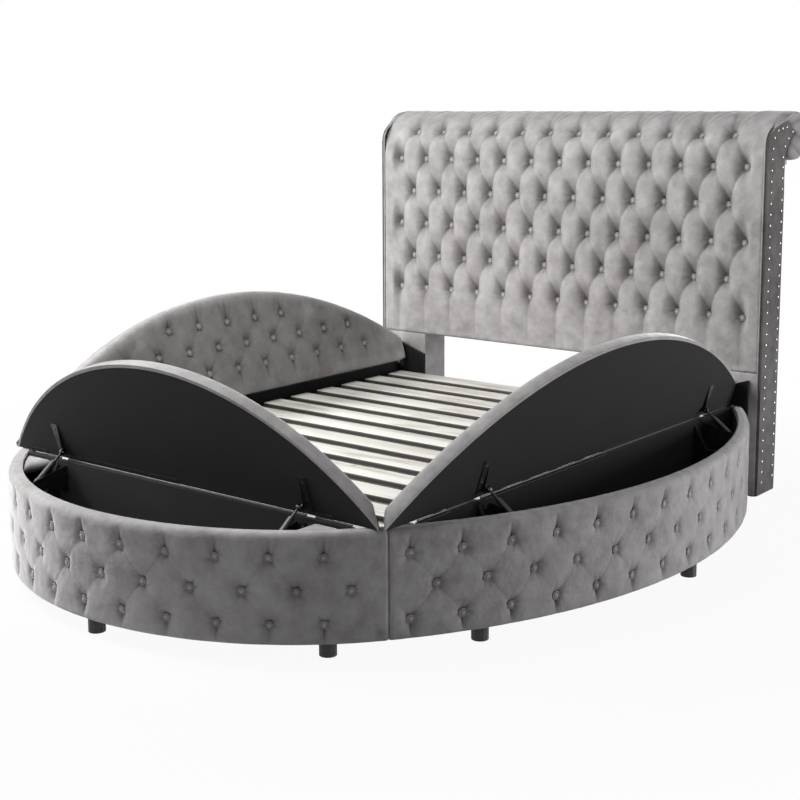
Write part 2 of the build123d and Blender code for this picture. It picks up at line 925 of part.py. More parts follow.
def headboard_core():
    curl = roll_radius - headboard_foam - fit_gap
    y0, y1 = headboard_foam + fit_gap, headboard_depth - back_pad
    roll_y = front_curve_radius
    roll_z = front_curve_height + front_curve_radius - roll_radius
    shoulder = [front_point(h, headboard_foam + fit_gap) for h in core_heights()]
    outline = [
        *(Line(a, b) for a, b in zip(shoulder, shoulder[1:])),
        ThreePointArc((roll_y, roll_z + curl), (roll_y + curl, roll_z), (roll_y, roll_z - curl)),
        Line((roll_y, roll_z - curl), (roll_y, roll_z - roll_radius)),
        Line((roll_y, roll_z - roll_radius), (y1, roll_z - roll_radius)),
        Line((y1, roll_z - roll_radius), (y1, headboard_underside)),
        Line((y1, headboard_underside), (y0, headboard_underside)),
    ]
    rim = half_headboard - end_panel
    return [along_x(make_face(outline), -rim, rim)]


def headboard_back():
    near, far = headboard_depth - back_pad, headboard_depth
    under_roll = front_curve_height + front_curve_radius - 2 * roll_radius
    rim = half_headboard - end_panel
    outline = Polyline((near, headboard_underside), (far, headboard_underside), (far, under_roll - back_pad),
                       (front_curve_radius, under_roll - back_pad), (front_curve_radius, under_roll),
                       (near, under_roll), close=True)
    return [along_x(make_face(outline), -rim, rim)]


def headboard_buttons():
    # Each button's shank ends just over the deepest point between the pillows
    seat_depth = tuft_fold + tuft_button_extra - fit_gap
    buttons = []
    for row in range(tuft_rows):
        height = tuft_first_row + row * tuft_row_pitch
        y, z = front_point(height, seat_depth)
        bend = max(0, (height - front_curve_height) / front_curve_radius)
        normal = (0, -cos(bend), sin(bend))
        shift = tuft_pitch / 2 if row % 2 else 0
        count = tuft_columns if row % 2 else tuft_columns + 1
        for k in range(count):
            x = (k - tuft_columns // 2) * tuft_pitch + shift
            seat = Plane(origin=(x, head_face + y, z), x_dir=(1, 0, 0), z_dir=normal)
            buttons.append(seat * shanked_button(tuft_button_radius, tuft_button_height))
    return buttons


def end_panel_face():
    low = (panel_front, glide_height)
    rear_low = (headboard_depth, glide_height)
    return make_face([
        Line(low, panel_shoulder[0]), ThreePointArc(*panel_shoulder), Line(panel_shoulder[-1], panel_crest),
        Line(panel_crest, panel_beak), ThreePointArc(panel_beak, panel_throat, panel_nape),
        Line(panel_nape, rear_low), Line(rear_low, low),
    ])


def headboard_end_panels():
    panel = along_x(end_panel_face(), half_headboard - end_panel, half_headboard)
    return [panel, mirror(panel, about=Plane.YZ)]


def headboard_roll_ends():
    # Domed covers of the roll's ends, around the end panels' scrolls
    top = front_curve_height + front_curve_radius
    roll_low = top - 2 * roll_radius
    reach = front_curve_radius
    shoulder_z = panel_shoulder[0][1]
    turn = asin((shoulder_z - front_curve_height) / reach)
    start = (reach - reach * cos(turn), shoulder_z)
    middle_turn = (turn + pi / 2) / 2
    region = make_face([
        ThreePointArc(start, (reach - reach * cos(middle_turn), front_curve_height + reach * sin(middle_turn)),
                      (reach, top)),
        ThreePointArc((reach, top), (reach + roll_radius, top - roll_radius), (reach, roll_low)),
        Line((reach, roll_low), panel_nape), Line(panel_nape, start),
    ])
    low = half_headboard - end_panel
    blank = along_x(region, low, half_headboard + roll_end_bulge)
    cut = along_x(end_panel_face(), low, half_headboard + roll_end_bulge)
    y, z = roll_end_centre
    dome = Pos(half_headboard + roll_end_bulge - roll_end_dome, head_face + y, z) * Sphere(roll_end_dome)
    crescent = (blank - cut) & dome
    solids = sorted(crescent.solids(), key=lambda s: s.volume)
    return [solids[-1], mirror(solids[-1], about=Plane.YZ)]


def nail_places():
    front = int((nail_front_top - nail_lowest) / nail_pitch)
    rear = int((nail_rear_top - nail_lowest) / nail_pitch)
    places = [(nail_front_line, nail_front_top - k * nail_pitch) for k in range(front + 1)]
    places += [(nail_rear_line, nail_rear_top - k * nail_pitch) for k in range(rear + 1)]
    return places + list(nail_scroll)


def headboard_nails():
    nails = []
    for y, z in nail_places():
        seat = Plane(origin=(half_headboard, head_face + y, z), x_dir=(0, 1, 0), z_dir=(1, 0, 0))
        nail = seat * pointed_button(nail_radius, nail_crown)
        nails += [nail, mirror(nail, about=Plane.YZ)]
    return nails


def headboard_legs():
    rim = half_headboard - end_panel
    leg = block((leg_inner, head_face + panel_front, glide_height),
                (rim, head_face + headboard_depth, headboard_underside))
    return [leg, mirror(leg, about=Plane.YZ)]


def leg_glides():
    rim = half_headboard - end_panel
    middle = head_face + (panel_front + headboard_depth) / 2
    glides = [Pos(x, middle, 0) * bar(glide_radius, glide_height, foot_sides)
              for x in (leg_inner + glide_inset, rim - glide_inset)]
    return glides + [mirror(glide, about=Plane.YZ) for glide in glides]


def leg_mounting_boards():
    outline = Polyline((leg_inner, mount_board_low), (mount_board_outer, mount_board_low),
                       (mount_board_outer, mount_board_outer_top), (leg_inner, mount_board_inner_top), close=True)
    face = Plane(origin=(0, head_face + panel_front, 0), x_dir=(1, 0, 0), z_dir=(0, -1, 0)) * make_face(outline)
    plate = extrude(face, amount=mount_board)
    return [plate, mirror(plate, about=Plane.YZ)]


save_per_box("box_wall", curved_wall)
save_per_box("wall_upholstery", wall_cover)
save_per_box("box_inner_wall", inner_wall)
save_per_box("lid_board", lid_panel)
save_per_box("lid_cushion", lid_cushion)
save_per_box("lid_buttons", lid_buttons)
save_per_box("lid_hinge_leaves", hinge_lid_leaves)
save_per_box("lid_arms", lid_arms)
save_shared("wall_buttons", wall_buttons)
save_shared("box_floors", box_floor)
save_shared("box_dividers", dividers)
save_shared("hinge_wall_leaves", hinge_wall_leaves)
save_shared("hinge_pins", hinge_pins)
save_shared("strut_brackets", strut_brackets)
save_shared("box_feet", box_feet)
save("foot_box_corner_pads", in_foot(corner_pads(foot_box)))
save_struts("tube", strut_tube)
save_struts("rod", strut_rod)
save("slats", slats())
save("slat_ledgers", slat_ledgers())
save("centre_rail", centre_rail())
save("centre_legs", centre_legs())
save("head_crossrail", head_crossrail())
save("headboard_core", headboard_core())
save("headboard_tufted_panel", headboard_tufted_panel())
save("headboard_buttons", headboard_buttons())
save("headboard_back", headboard_back())
save("headboard_end_panels", headboard_end_panels())
save("headboard_roll_ends", headboard_roll_ends())
save("headboard_nails", headboard_nails())
save("headboard_legs", headboard_legs())
save("leg_glides", leg_glides())
save("leg_mounting_boards", leg_mounting_boards())
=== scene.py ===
import json
from math import asin, cos, hypot, pi, radians, sin, sqrt

import bmesh
import bpy
import numpy as np
from mathutils import Matrix, Vector


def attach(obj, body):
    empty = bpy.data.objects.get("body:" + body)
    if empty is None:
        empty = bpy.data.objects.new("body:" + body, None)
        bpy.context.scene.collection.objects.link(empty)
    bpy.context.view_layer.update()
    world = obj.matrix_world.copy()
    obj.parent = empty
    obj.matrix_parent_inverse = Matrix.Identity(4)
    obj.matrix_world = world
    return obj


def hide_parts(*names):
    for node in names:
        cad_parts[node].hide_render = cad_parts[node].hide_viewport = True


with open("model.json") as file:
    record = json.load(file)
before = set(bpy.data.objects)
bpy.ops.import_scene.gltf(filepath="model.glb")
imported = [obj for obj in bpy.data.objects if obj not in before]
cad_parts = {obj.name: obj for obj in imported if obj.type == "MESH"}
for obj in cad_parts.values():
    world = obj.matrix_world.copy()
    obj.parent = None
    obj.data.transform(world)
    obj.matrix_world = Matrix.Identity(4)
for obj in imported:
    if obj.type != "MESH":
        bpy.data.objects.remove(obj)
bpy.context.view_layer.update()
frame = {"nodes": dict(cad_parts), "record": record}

mm = 0.001
print("frame loaded:", len(frame["nodes"]), "nodes")


# Makers of the methods below: the socket comes first, or last in the reflected form
def forward(operation):
    return lambda self, *others: self.make(operation, *others)


def backward(operation):
    return lambda self, other: self.reflected(operation, other)


# A number socket that can be used in plain expressions
class Maths:
    def __init__(self, nodes, socket):
        self.nodes = nodes
        self.socket = socket

    def make(self, operation, *others):
        sockets = {k: value for k, value in enumerate((self, *others))}
        node = self.nodes.add("ShaderNodeMath", {"operation": operation}, sockets)
        return Maths(self.nodes, node.outputs[0])

    def reflected(self, operation, other):
        node = self.nodes.add("ShaderNodeMath", {"operation": operation}, {0: other, 1: self})
        return Maths(self.nodes, node.outputs[0])

    __add__, __radd__ = forward("ADD"), backward("ADD")
    __sub__, __rsub__ = forward("SUBTRACT"), backward("SUBTRACT")
    __mul__, __rmul__ = forward("MULTIPLY"), backward("MULTIPLY")
    __truediv__, __pow__, __abs__ = forward("DIVIDE"), forward("POWER"), forward("ABSOLUTE")
    sine, floor, exp = forward("SINE"), forward("FLOOR"), forward("EXPONENT")
    lower, higher, turnFrom = forward("MINIMUM"), forward("MAXIMUM"), forward("ARCTAN2")

    def between(self, low, high):
        return self.higher(low).lower(high)


# One way in for every node: its type, its settings, then its sockets' values or links
class NodeMaker:
    def __init__(self, tree):
        self.tree = tree
        tree.nodes.clear()

    def add(self, kind, settings=None, sockets=None):
        node = self.tree.nodes.new(kind)
        for name, value in (settings or {}).items():
            setattr(node, name, value)
        for key, value in (sockets or {}).items():
            if isinstance(value, Maths):
                self.tree.links.new(value.socket, node.inputs[key])
            elif isinstance(value, bpy.types.NodeSocket):
                self.tree.links.new(value, node.inputs[key])
            else:
                node.inputs[key].default_value = value
        return node

    def number(self, socket):
        return Maths(self, socket)


# Materials

def newMaterial(name):
    material = bpy.data.materials.new(name)
    material.use_nodes = True
    nodes = NodeMaker(material.node_tree)
    place = nodes.add("ShaderNodeTexCoord").outputs["Object"]
    return material, nodes, place


def finishMaterial(nodes, sockets):
    shader = nodes.add("ShaderNodeBsdfPrincipled", None, sockets)
    nodes.add("ShaderNodeOutputMaterial", None, {"Surface": shader.outputs[0]})


def noiseOf(nodes, place, scale, detail=3.0, roughness=0.5, stretch=None):
    vector = place
    if stretch:
        vector = nodes.add("ShaderNodeMapping", None, {"Vector": place, "Scale": stretch}).outputs[0]
    node = nodes.add("ShaderNodeTexNoise", None,
                     {"Vector": vector, "Scale": scale, "Detail": detail, "Roughness": roughness})
    return nodes.number(node.outputs["Fac"])


def mixColours(nodes, share, first, second):
    node = nodes.add("ShaderNodeMix", {"data_type": "RGBA"},
                     {"Factor": share, 6: (*first, 1) if isinstance(first, tuple) else first,
                      7: (*second, 1) if isinstance(second, tuple) else second})
    return node.outputs[2]


def bumpOf(nodes, height, distance, strength, normal=None):
    sockets = {"Height": height, "Distance": distance, "Strength": strength}
    if normal is not None:
        sockets["Normal"] = normal
    return nodes.add("ShaderNodeBump", None, sockets).outputs[0]


velvet = {
    "pile": (0.285, 0.272, 0.272), "pileLight": (0.455, 0.442, 0.440), "creaseShade": (0.062, 0.052, 0.052),
    "sheen": 1.0, "sheenRoughness": 0.30, "sheenTint": (0.97, 0.96, 0.97, 1), "roughness": 0.82,
    "patches": 1.2, "brushing": 2.1, "wrinkles": 3.4 * mm,
    # The end panels get a darker copy of the velvet with less sheen: painted shade
    "shadedPanelPile": (0.055, 0.052, 0.052), "shadedPanelPileLight": (0.128, 0.122, 0.120), "shadedPanelSheen": 0.22,
}


def velvetMaterial(name, pile, pileLight, sheen):
    material, nodes, place = newMaterial(name)
    broad = noiseOf(nodes, place, 3.2, 2.0)
    brushed = noiseOf(nodes, place, 17.0, 5.0, 0.62)
    grain = noiseOf(nodes, place, 900.0, 2.0)
    wrinkle = noiseOf(nodes, place, 40.0, 3.0, 0.55)
    crease = nodes.number(nodes.add("ShaderNodeAttribute", {"attribute_name": "crease"}).outputs["Fac"])
    uneven = (broad - 0.5) * velvet["patches"] + (brushed - 0.5) * velvet["brushing"]
    lightShare = (uneven + (grain - 0.5) * 0.5 + 0.5).between(0, 1)
    colour = mixColours(nodes, lightShare, pile, pileLight)
    # Painted shade: the colour darkens towards the crease shade colour where the mesh's stored shade value is
    # high
    colour = mixColours(nodes, crease.between(0, 1) * 0.9, colour, velvet["creaseShade"])
    rough = (velvet["roughness"] + (brushed - 0.5) * 0.16).between(0, 1)
    soft = bumpOf(nodes, wrinkle + brushed * 0.6, velvet["wrinkles"], 0.7)
    fine = bumpOf(nodes, grain, 0.35 * mm, 0.5, soft)
    finishMaterial(nodes, {
        "Base Color": colour, "Roughness": rough, "Normal": fine, "Sheen Weight": sheen,
        "Sheen Roughness": velvet["sheenRoughness"], "Sheen Tint": velvet["sheenTint"],
        "Specular IOR Level": 0.18,
    })
    return material


def liningMaterial(name, dark, pale):
    # Black cloth over boards: a fine weave with faint dust and rubbed patches
    material, nodes, place = newMaterial(name)
    warp = nodes.number(nodes.add("ShaderNodeTexWave", {"wave_type": "BANDS", "bands_direction": "DIAGONAL"},
                                  {"Vector": place, "Scale": 260.0, "Distortion": 0.6}).outputs["Fac"])
    cloud = noiseOf(nodes, place, 7.0, 4.0, 0.6)
    fibre = noiseOf(nodes, place, 520.0, 2.0)
    share = ((cloud - 0.45) * 0.9 + warp * 0.25 + (fibre - 0.5) * 0.5).between(0, 1)
    colour = mixColours(nodes, share, dark, pale)
    bump = bumpOf(nodes, warp + fibre, 0.25 * mm, 0.6)
    finishMaterial(nodes, {"Base Color": colour, "Roughness": (0.86 + (cloud - 0.5) * 0.14).between(0, 1),
                           "Normal": bump, "Sheen Weight": 0.08, "Sheen Roughness": 0.5,
                           "Specular IOR Level": 0.15})
    return material


def poplarMaterial():
    # Pale sawn slats: grain runs along x, with grey streaks, a few small knots and painted shade on the sawn
    # sides
    material, nodes, place = newMaterial("poplar")
    streak = noiseOf(nodes, place, 16.0, 5.0, 0.62, (0.09, 1.0, 1.0))
    fine = noiseOf(nodes, place, 120.0, 3.0, 0.6, (0.05, 1.0, 1.0))
    plank = noiseOf(nodes, place, 3.4, 1.0, 0.5, (0.02, 1.0, 0.0))
    knot = nodes.number(nodes.add("ShaderNodeTexVoronoi", {"feature": "F1"},
                                  {"Vector": place, "Scale": 4.3}).outputs["Distance"])
    knotShare = (1 - knot * 16.0).between(0, 1)
    smudge = noiseOf(nodes, place, 9.0, 3.0, 0.6, (0.45, 1.0, 1.0))
    normal = nodes.add("ShaderNodeTexCoord").outputs["Normal"]
    upward = nodes.number(nodes.add("ShaderNodeSeparateXYZ", None, {0: normal}).outputs["Z"])
    streakShare = ((streak - 0.5) * 4.6 + (fine - 0.5) * 1.6).between(0, 1)
    colour = mixColours(nodes, streakShare * 0.8, (0.86, 0.845, 0.79), (0.40, 0.36, 0.315))
    colour = mixColours(nodes, ((smudge - 0.54) * 4.0).between(0, 0.6), colour, (0.50, 0.47, 0.41))
    colour = mixColours(nodes, (plank - 0.46).between(0, 0.4), colour, (0.55, 0.50, 0.43))
    colour = mixColours(nodes, knotShare * 0.7, colour, (0.25, 0.16, 0.10))
    # Painted shade: the sides that face sideways darken almost to black, so the gaps between the slats read
    # dark
    colour = mixColours(nodes, (1.1 - abs(upward) * 1.8).between(0, 0.95), colour, (0.024, 0.021, 0.018))
    bump = bumpOf(nodes, streak + fine * 0.5, 0.5 * mm, 0.7)
    rough = (0.55 + fine * 0.2).between(0, 1)
    finishMaterial(nodes, {"Base Color": colour, "Roughness": rough, "Normal": bump})
    return material


def metalMaterial(name, colour, worn, metallic, roughness, coat):
    material, nodes, place = newMaterial(name)
    scuff = noiseOf(nodes, place, 60.0, 4.0, 0.6)
    brush = noiseOf(nodes, place, 420.0, 2.0, 0.5, (0.2, 1.0, 1.0))
    share = ((scuff - 0.52) * 2.6).between(0, 1)
    tone = mixColours(nodes, share * 0.6, colour, worn)
    bump = bumpOf(nodes, brush + scuff * 0.4, 0.08 * mm, 0.5)
    finishMaterial(nodes, {"Base Color": tone, "Metallic": metallic, "Normal": bump,
                           "Roughness": (roughness + (scuff - 0.5) * 0.22).between(0, 1),
                           "Coat Weight": coat})
    return material


def plasticMaterial():
    material, nodes, place = newMaterial("blackPlastic")
    grain = noiseOf(nodes, place, 700.0, 2.0)
    dust = noiseOf(nodes, place, 30.0, 3.0)
    colour = mixColours(nodes, (dust - 0.4).between(0, 1), (0.022, 0.022, 0.023), (0.055, 0.053, 0.05))
    finishMaterial(nodes, {"Base Color": colour, "Roughness": (0.5 + grain * 0.2).between(0, 1),
                           "Normal": bumpOf(nodes, grain, 0.1 * mm, 0.6)})
    return material


greyVelvet = velvetMaterial("greyVelvet", velvet["pile"], velvet["pileLight"], velvet["sheen"])
# Painted shade: a darker copy of the velvet for the end panels
shadedPanelVelvet = velvetMaterial("shadedPanelVelvet", velvet["shadedPanelPile"], velvet["shadedPanelPileLight"], velvet["shadedPanelSheen"])
blackLining = liningMaterial("blackLining", (0.010, 0.009, 0.010), (0.026, 0.025, 0.026))
darkRod = metalMaterial("darkRod", (0.05, 0.05, 0.055), (0.12, 0.12, 0.12), 1.0, 0.26, 0.0)
hingeSteel = metalMaterial("hingeSteel", (0.085, 0.085, 0.088), (0.045, 0.045, 0.045), 1.0, 0.5, 0.0)
slotMaterials = {
    "grey_velvet": greyVelvet,
    "black_lined_board": blackLining,
    "poplar": poplarMaterial(),
    "black_steel": metalMaterial("blackSteel", (0.020, 0.020, 0.021), (0.10, 0.10, 0.10), 0.3, 0.42, 0.25),
    "bright_steel": hingeSteel,
    "nail_metal": metalMaterial("nailMetal", (0.34, 0.33, 0.32), (0.14, 0.13, 0.12), 1.0, 0.20, 0.0),
    "black_plastic": plasticMaterial(),
}
for part in frame["record"]["subparts"]:
    node = frame["nodes"][part["node"]]
    finish = slotMaterials[part["material_slot"]]
    if "_strut_rod_" in part["node"]:
        finish = darkRod
    node.data.materials.clear()
    node.data.materials.append(finish)
print("materials done")


# Places in the three boxes: u along the hinge line, o outwards from it, z up, in millimetres
hingeHeight = 355.0
lidUnderside = 356.45
openTurn = radians(72)


def boxPoint(box, u, o, z):
    u, o, z = np.broadcast_arrays(*(np.asarray(v, float) for v in (u, o, z)))
    if box == "foot":
        place = np.stack([-u, -985 - o, z], -1)
    else:
        side = -1 if box == "left" else 1
        place = np.stack([side * (785 + o), 90 + u, z], -1)
    return place * mm


def boxVector(box, u, o, z):
    return (boxPoint(box, u, o, z) - boxPoint(box, 0, 0, 0)) / mm


def lidPoint(box, u, s, n):
    # n is the height over the closed lid's underside
    rise = np.asarray(n, float) + lidUnderside - hingeHeight
    out = s * cos(openTurn) - rise * sin(openTurn)
    return boxPoint(box, u, out, hingeHeight + s * sin(openTurn) + rise * cos(openTurn))


def lidNormal(box):
    return boxVector(box, 0, -sin(openTurn), cos(openTurn))


# Meshes

def linked(name, data):
    made = bpy.data.objects.new(name, data)
    bpy.context.scene.collection.objects.link(made)
    return made


def newPiece(name, mesh, material):
    mesh.materials.append(material)
    return linked(name, mesh)


def meshOf(name, work):
    mesh = bpy.data.meshes.new(name)
    work.to_mesh(mesh)
    work.free()
    return mesh


def blockBetween(low, high):
    work = bmesh.new()
    bmesh.ops.create_cube(work, size=1)
    for vert in work.verts:
        vert.co = Vector((low + high) / 2 + np.array(vert.co) * (high - low)) * mm
    return work


def rounded(work, edges, radius, segments):
    bmesh.ops.bevel(work, geom=edges, offset=radius * mm, segments=segments, affect="EDGES", profile=0.5)


def volumeOf(points, quads, caps):
    # Positive when the faces point outwards
    a, b, c, d = (points[quads[:, k]] for k in range(4))
    volume = np.sum(a * (np.cross(b, c) + np.cross(c, d)))
    for cap in caps:
        ring = points[cap]
        volume += np.sum(ring[0] * np.cross(ring[1:-1], ring[2:]))
    return volume


def ringedMesh(name, rings):
    # Rings of points, closed round each ring, with the first and last ring capped
    rings = np.asarray(rings, float)
    columns, count = rings.shape[:2]
    index = np.arange(columns * count).reshape(columns, count)
    ahead = np.roll(index, -1, axis=1)
    quads = np.stack([index[:-1], index[1:], ahead[1:], ahead[:-1]], -1).reshape(-1, 4)
    caps = [index[0, ::-1], index[-1]]
    points = rings.reshape(-1, 3)
    if volumeOf(points - points.mean(0), quads, caps) < 0:
        quads, caps = quads[:, ::-1], [cap[::-1] for cap in caps]
    faces = quads.tolist() + [cap.tolist() for cap in caps]
    mesh = bpy.data.meshes.new(name)
    mesh.from_pydata(points.tolist(), [], faces)
    smooth(mesh)
    return mesh


def smooth(mesh, sharpAngle=55):
    mesh.shade_smooth()
    mesh.set_sharp_from_angle(angle=radians(sharpAngle))
    mesh.update()


def setNumbers(mesh, name, values):
    attribute = mesh.attributes.new(name, "FLOAT", "POINT")
    attribute.data.foreach_set("value", np.asarray(values, np.float32).ravel())


def setVectors(mesh, name, values):
    attribute = mesh.attributes.new(name, "FLOAT_VECTOR", "POINT")
    attribute.data.foreach_set("vector", np.asarray(values, np.float32).ravel())


def markGrid(mesh, along, up, puff, inward):
    # Places on the button grid come in millimetres
    setNumbers(mesh, "along", np.asarray(along) * mm)
    setNumbers(mesh, "up", np.asarray(up) * mm)
    setNumbers(mesh, "puff", puff)
    setVectors(mesh, "inward", inward)


def eased(value):
    value = np.clip(value, 0, 1)
    return value * value * (3 - 2 * value)


def cleaned(mesh):
    distance = 0.02 * mm
    work = bmesh.new()
    work.from_mesh(mesh)
    bmesh.ops.remove_doubles(work, verts=work.verts, dist=distance)
    bmesh.ops.dissolve_degenerate(work, dist=distance, edges=work.edges)
    bmesh.ops.recalc_face_normals(work, faces=work.faces)
    work.to_mesh(mesh)
    work.free()
    mesh.update()
    return mesh


def plainMesh(piece):
    # The modifiers' result becomes the piece's own mesh
    evaluated = piece.evaluated_get(bpy.context.evaluated_depsgraph_get())
    mesh = bpy.data.meshes.new_from_object(evaluated)
    piece.modifiers.clear()
    piece.data = mesh
    return piece


def setInputs(modifier, values):
    for item in modifier.node_group.interface.items_tree:
        if item.item_type == "SOCKET" and item.in_out == "INPUT" and item.name in values:
            modifier[item.identifier] = values[item.name]


def newTree(name, numbers, others=()):
    tree = bpy.data.node_groups.new(name, "GeometryNodeTree")
    tree.interface.new_socket(name="Geometry", in_out="INPUT", socket_type="NodeSocketGeometry")
    tree.interface.new_socket(name="Geometry", in_out="OUTPUT", socket_type="NodeSocketGeometry")
    for label, value in numbers.items():
        socket = tree.interface.new_socket(name=label, in_out="INPUT", socket_type="NodeSocketFloat")
        socket.default_value = value
    for label, kind in others:
        tree.interface.new_socket(name=label, in_out="INPUT", socket_type=kind)
    return tree


# Button tufting for any padded face: the mesh says how far each point lies along and up the button grid
tuftingInputs = (
    "pitch", "rowPitch", "lastRow", "fold", "dimple", "arch", "groove", "grooveWidth", "pleatShareBelow",
    "pleatShareAbove", "pleatRun", "fan", "fanLean", "uneven", "dimpleGather", "gathers", "lineShare",
    "foldShade", "deepest", "shade", "seed",
)


def tuftingTree():
    inputs = dict.fromkeys(tuftingInputs, 0.0)
    tree = newTree("buttonTufting", inputs, [("Material", "NodeSocketMaterial")])
    nodes = NodeMaker(tree)
    given = nodes.add("NodeGroupInput")
    size = {label: nodes.number(given.outputs[label]) for label in tuftingInputs}

    def named(label, kind="FLOAT"):
        return nodes.add("GeometryNodeInputNamedAttribute", {"data_type": kind}, {"Name": label}).outputs[0]

    along, up, puff = (nodes.number(named(label)) for label in ("along", "up", "puff"))
    column = along / size["pitch"]
    rows = up / size["rowPitch"]
    inside = rows.higher(0).lower(size["lastRow"])
    base = inside.floor()
    drop = 1 - (inside - base)  # share of the way down to the next row
    bent = drop + size["arch"] * ((drop * (pi / 2)).sine() - drop)
    half = (base + 1 - bent) / 2
    first = abs(((column + half) * pi).sine())
    second = abs(((column - half) * pi).sine())
    above = (rows - size["lastRow"]).higher(0) * size["rowPitch"]
    below = (0 - rows).higher(0) * size["rowPitch"]
    shareAbove = size["pleatShareAbove"] + (1 - size["pleatShareAbove"]) * (0 - above * 26).exp()
    shareBelow = size["pleatShareBelow"] + (1 - size["pleatShareBelow"]) * (0 - below * 26).exp()
    runOut = (1 - above / size["pleatRun"]).between(0, 1)
    share = shareAbove * shareBelow * runOut
    crown = 1 - (first * second) ** 0.5
    dip = ((1 - first) * (1 - second)) ** size["dimpleGather"]
    dipFade = (0 - (above + below) * 34).exp()
    line = (1 - first.lower(second) / size["grooveWidth"]).higher(0) ** 2
    # Fine creases fan out from the buttons of the last row and run up over the edge
    lean = column + size["lastRow"] / 2 - above * size["fanLean"]
    aside = lean - (lean + 0.5).floor()
    spread = aside / (above * 2.2 + 0.035)
    fanned = 0.0
    for centre in (-1.15, -0.1, 0.95):
        fanned = (0 - ((spread - centre) * 3.4) ** 2).exp() + fanned
    fanned = fanned * (above * 60).between(0, 1) * (0 - above * 6).exp()

    def noiseAt(scale, shift):
        return nodes.number(nodes.add("ShaderNodeTexNoise", {"noise_dimensions": "4D"},
                                      {"W": size["seed"] + shift, "Scale": scale, "Detail": 2.0}).outputs[0])

    lumps = noiseAt(9.0, 0.0)
    seen = ((noiseAt(6.0, 5.0) - 0.47) * 8).between(0, 1).higher(((above + below) * 200).between(0, 1))
    line = line * (size["lineShare"] + (1 - size["lineShare"]) * seen)
    # Small gathers radiate from every button
    gathered = 0.0
    for parity in (0, 1):
        upward = (rows - ((rows - parity) / 2 + 0.5).floor() * 2 - parity) * size["rowPitch"]
        across = column - parity / 2
        across = (across - (across + 0.5).floor()) * size["pitch"]
        gap = (across ** 2 + upward ** 2) ** 0.5
        ring = (0 - (gap / 0.027) ** 2).exp() * (gap * 70).between(0, 1)
        gathered = (upward.turnFrom(across) * 7 + lumps * 30).sine() * ring + gathered
    gathered = gathered * dipFade
    depth = share * (size["fold"] * crown + size["groove"] * line) + size["dimple"] * dip * dipFade
    depth = depth + size["fan"] * fanned + size["uneven"] * (lumps - 0.5) * (first * second)
    depth = ((depth + size["gathers"] * gathered) * puff).lower(size["deepest"])
    inward = named("inward", "FLOAT_VECTOR")
    shift = nodes.add("ShaderNodeVectorMath", {"operation": "SCALE"}, {0: inward, "Scale": depth}).outputs[0]
    moved = nodes.add("GeometryNodeSetPosition", None,
                      {"Geometry": given.outputs["Geometry"], "Offset": shift}).outputs[0]
    # Painted shade: darker in the dimples, grooves, folds, fans and gathers, plus a flat painted shade given
    # per piece; stored on the mesh for the velvet
    deep = dip * dipFade * 0.75 + line * share * 0.3 + crown ** 4 * share * size["foldShade"] + fanned * 0.2
    deep = (deep + gathered.higher(0) * 0.35 + size["shade"]) * puff
    marked = nodes.add("GeometryNodeStoreNamedAttribute", {"data_type": "FLOAT", "domain": "POINT"},
                       {"Geometry": moved, "Name": "crease", "Value": deep.between(0, 1)}).outputs[0]
    covered = nodes.add("GeometryNodeSetMaterial", None,
                        {"Geometry": marked, "Material": given.outputs["Material"]}).outputs[0]
    nodes.add("NodeGroupOutput", None, {0: covered})
    return tree


def tufted(name, mesh, sizes, material):
    piece = newPiece(name, mesh, material)
    modifier = piece.modifiers.new("tufting", "NODES")
    modifier.node_group = tufting
    setInputs(modifier, {**sizes, "Material": material})
    plainMesh(piece)
    smooth(piece.data, 60)
    for label in ("along", "up", "puff", "inward"):
        piece.data.attributes.remove(piece.data.attributes[label])
    return piece


# A small shape set on points, each turned to face the way the point's arrow points
def repeatTree():
    tree = newTree("repeatOnPoints", {"size": 1.0, "turnSpread": 0.4},
                   [("Shape", "NodeSocketObject"), ("Material", "NodeSocketMaterial")])
    nodes = NodeMaker(tree)
    given = nodes.add("NodeGroupInput")
    facing = nodes.add("GeometryNodeInputNamedAttribute", {"data_type": "FLOAT_VECTOR"}, {"Name": "facing"})
    turn = nodes.add("FunctionNodeAlignRotationToVector", {"axis": "Z"}, {"Vector": facing.outputs[0]})
    spin = nodes.add("FunctionNodeRandomValue", {"data_type": "FLOAT"},
                     {2: 0.0, 3: given.outputs["turnSpread"], "Seed": 5})
    spun = nodes.add("ShaderNodeCombineXYZ", None, {2: spin.outputs[1]})
    rotation = nodes.add("FunctionNodeEulerToRotation", None, {0: spun.outputs[0]})
    local = nodes.add("FunctionNodeRotateRotation", {"rotation_space": "LOCAL"},
                      {0: turn.outputs[0], 1: rotation.outputs[0]})
    shape = nodes.add("GeometryNodeObjectInfo", {"transform_space": "ORIGINAL"},
                      {"Object": given.outputs["Shape"], "As Instance": True})
    scale = nodes.add("ShaderNodeCombineXYZ", None,
                      {0: given.outputs["size"], 1: given.outputs["size"], 2: given.outputs["size"]})
    placed = nodes.add("GeometryNodeInstanceOnPoints", None,
                       {"Points": given.outputs["Geometry"], "Instance": shape.outputs["Geometry"],
                        "Rotation": local.outputs[0], "Scale": scale.outputs[0]})
    real = nodes.add("GeometryNodeRealizeInstances", None, {"Geometry": placed.outputs[0]})
    covered = nodes.add("GeometryNodeSetMaterial", None,
                        {"Geometry": real.outputs[0], "Material": given.outputs["Material"]})
    nodes.add("NodeGroupOutput", None, {0: covered.outputs[0]})
    return tree


tufting = tuftingTree()
repeating = repeatTree()


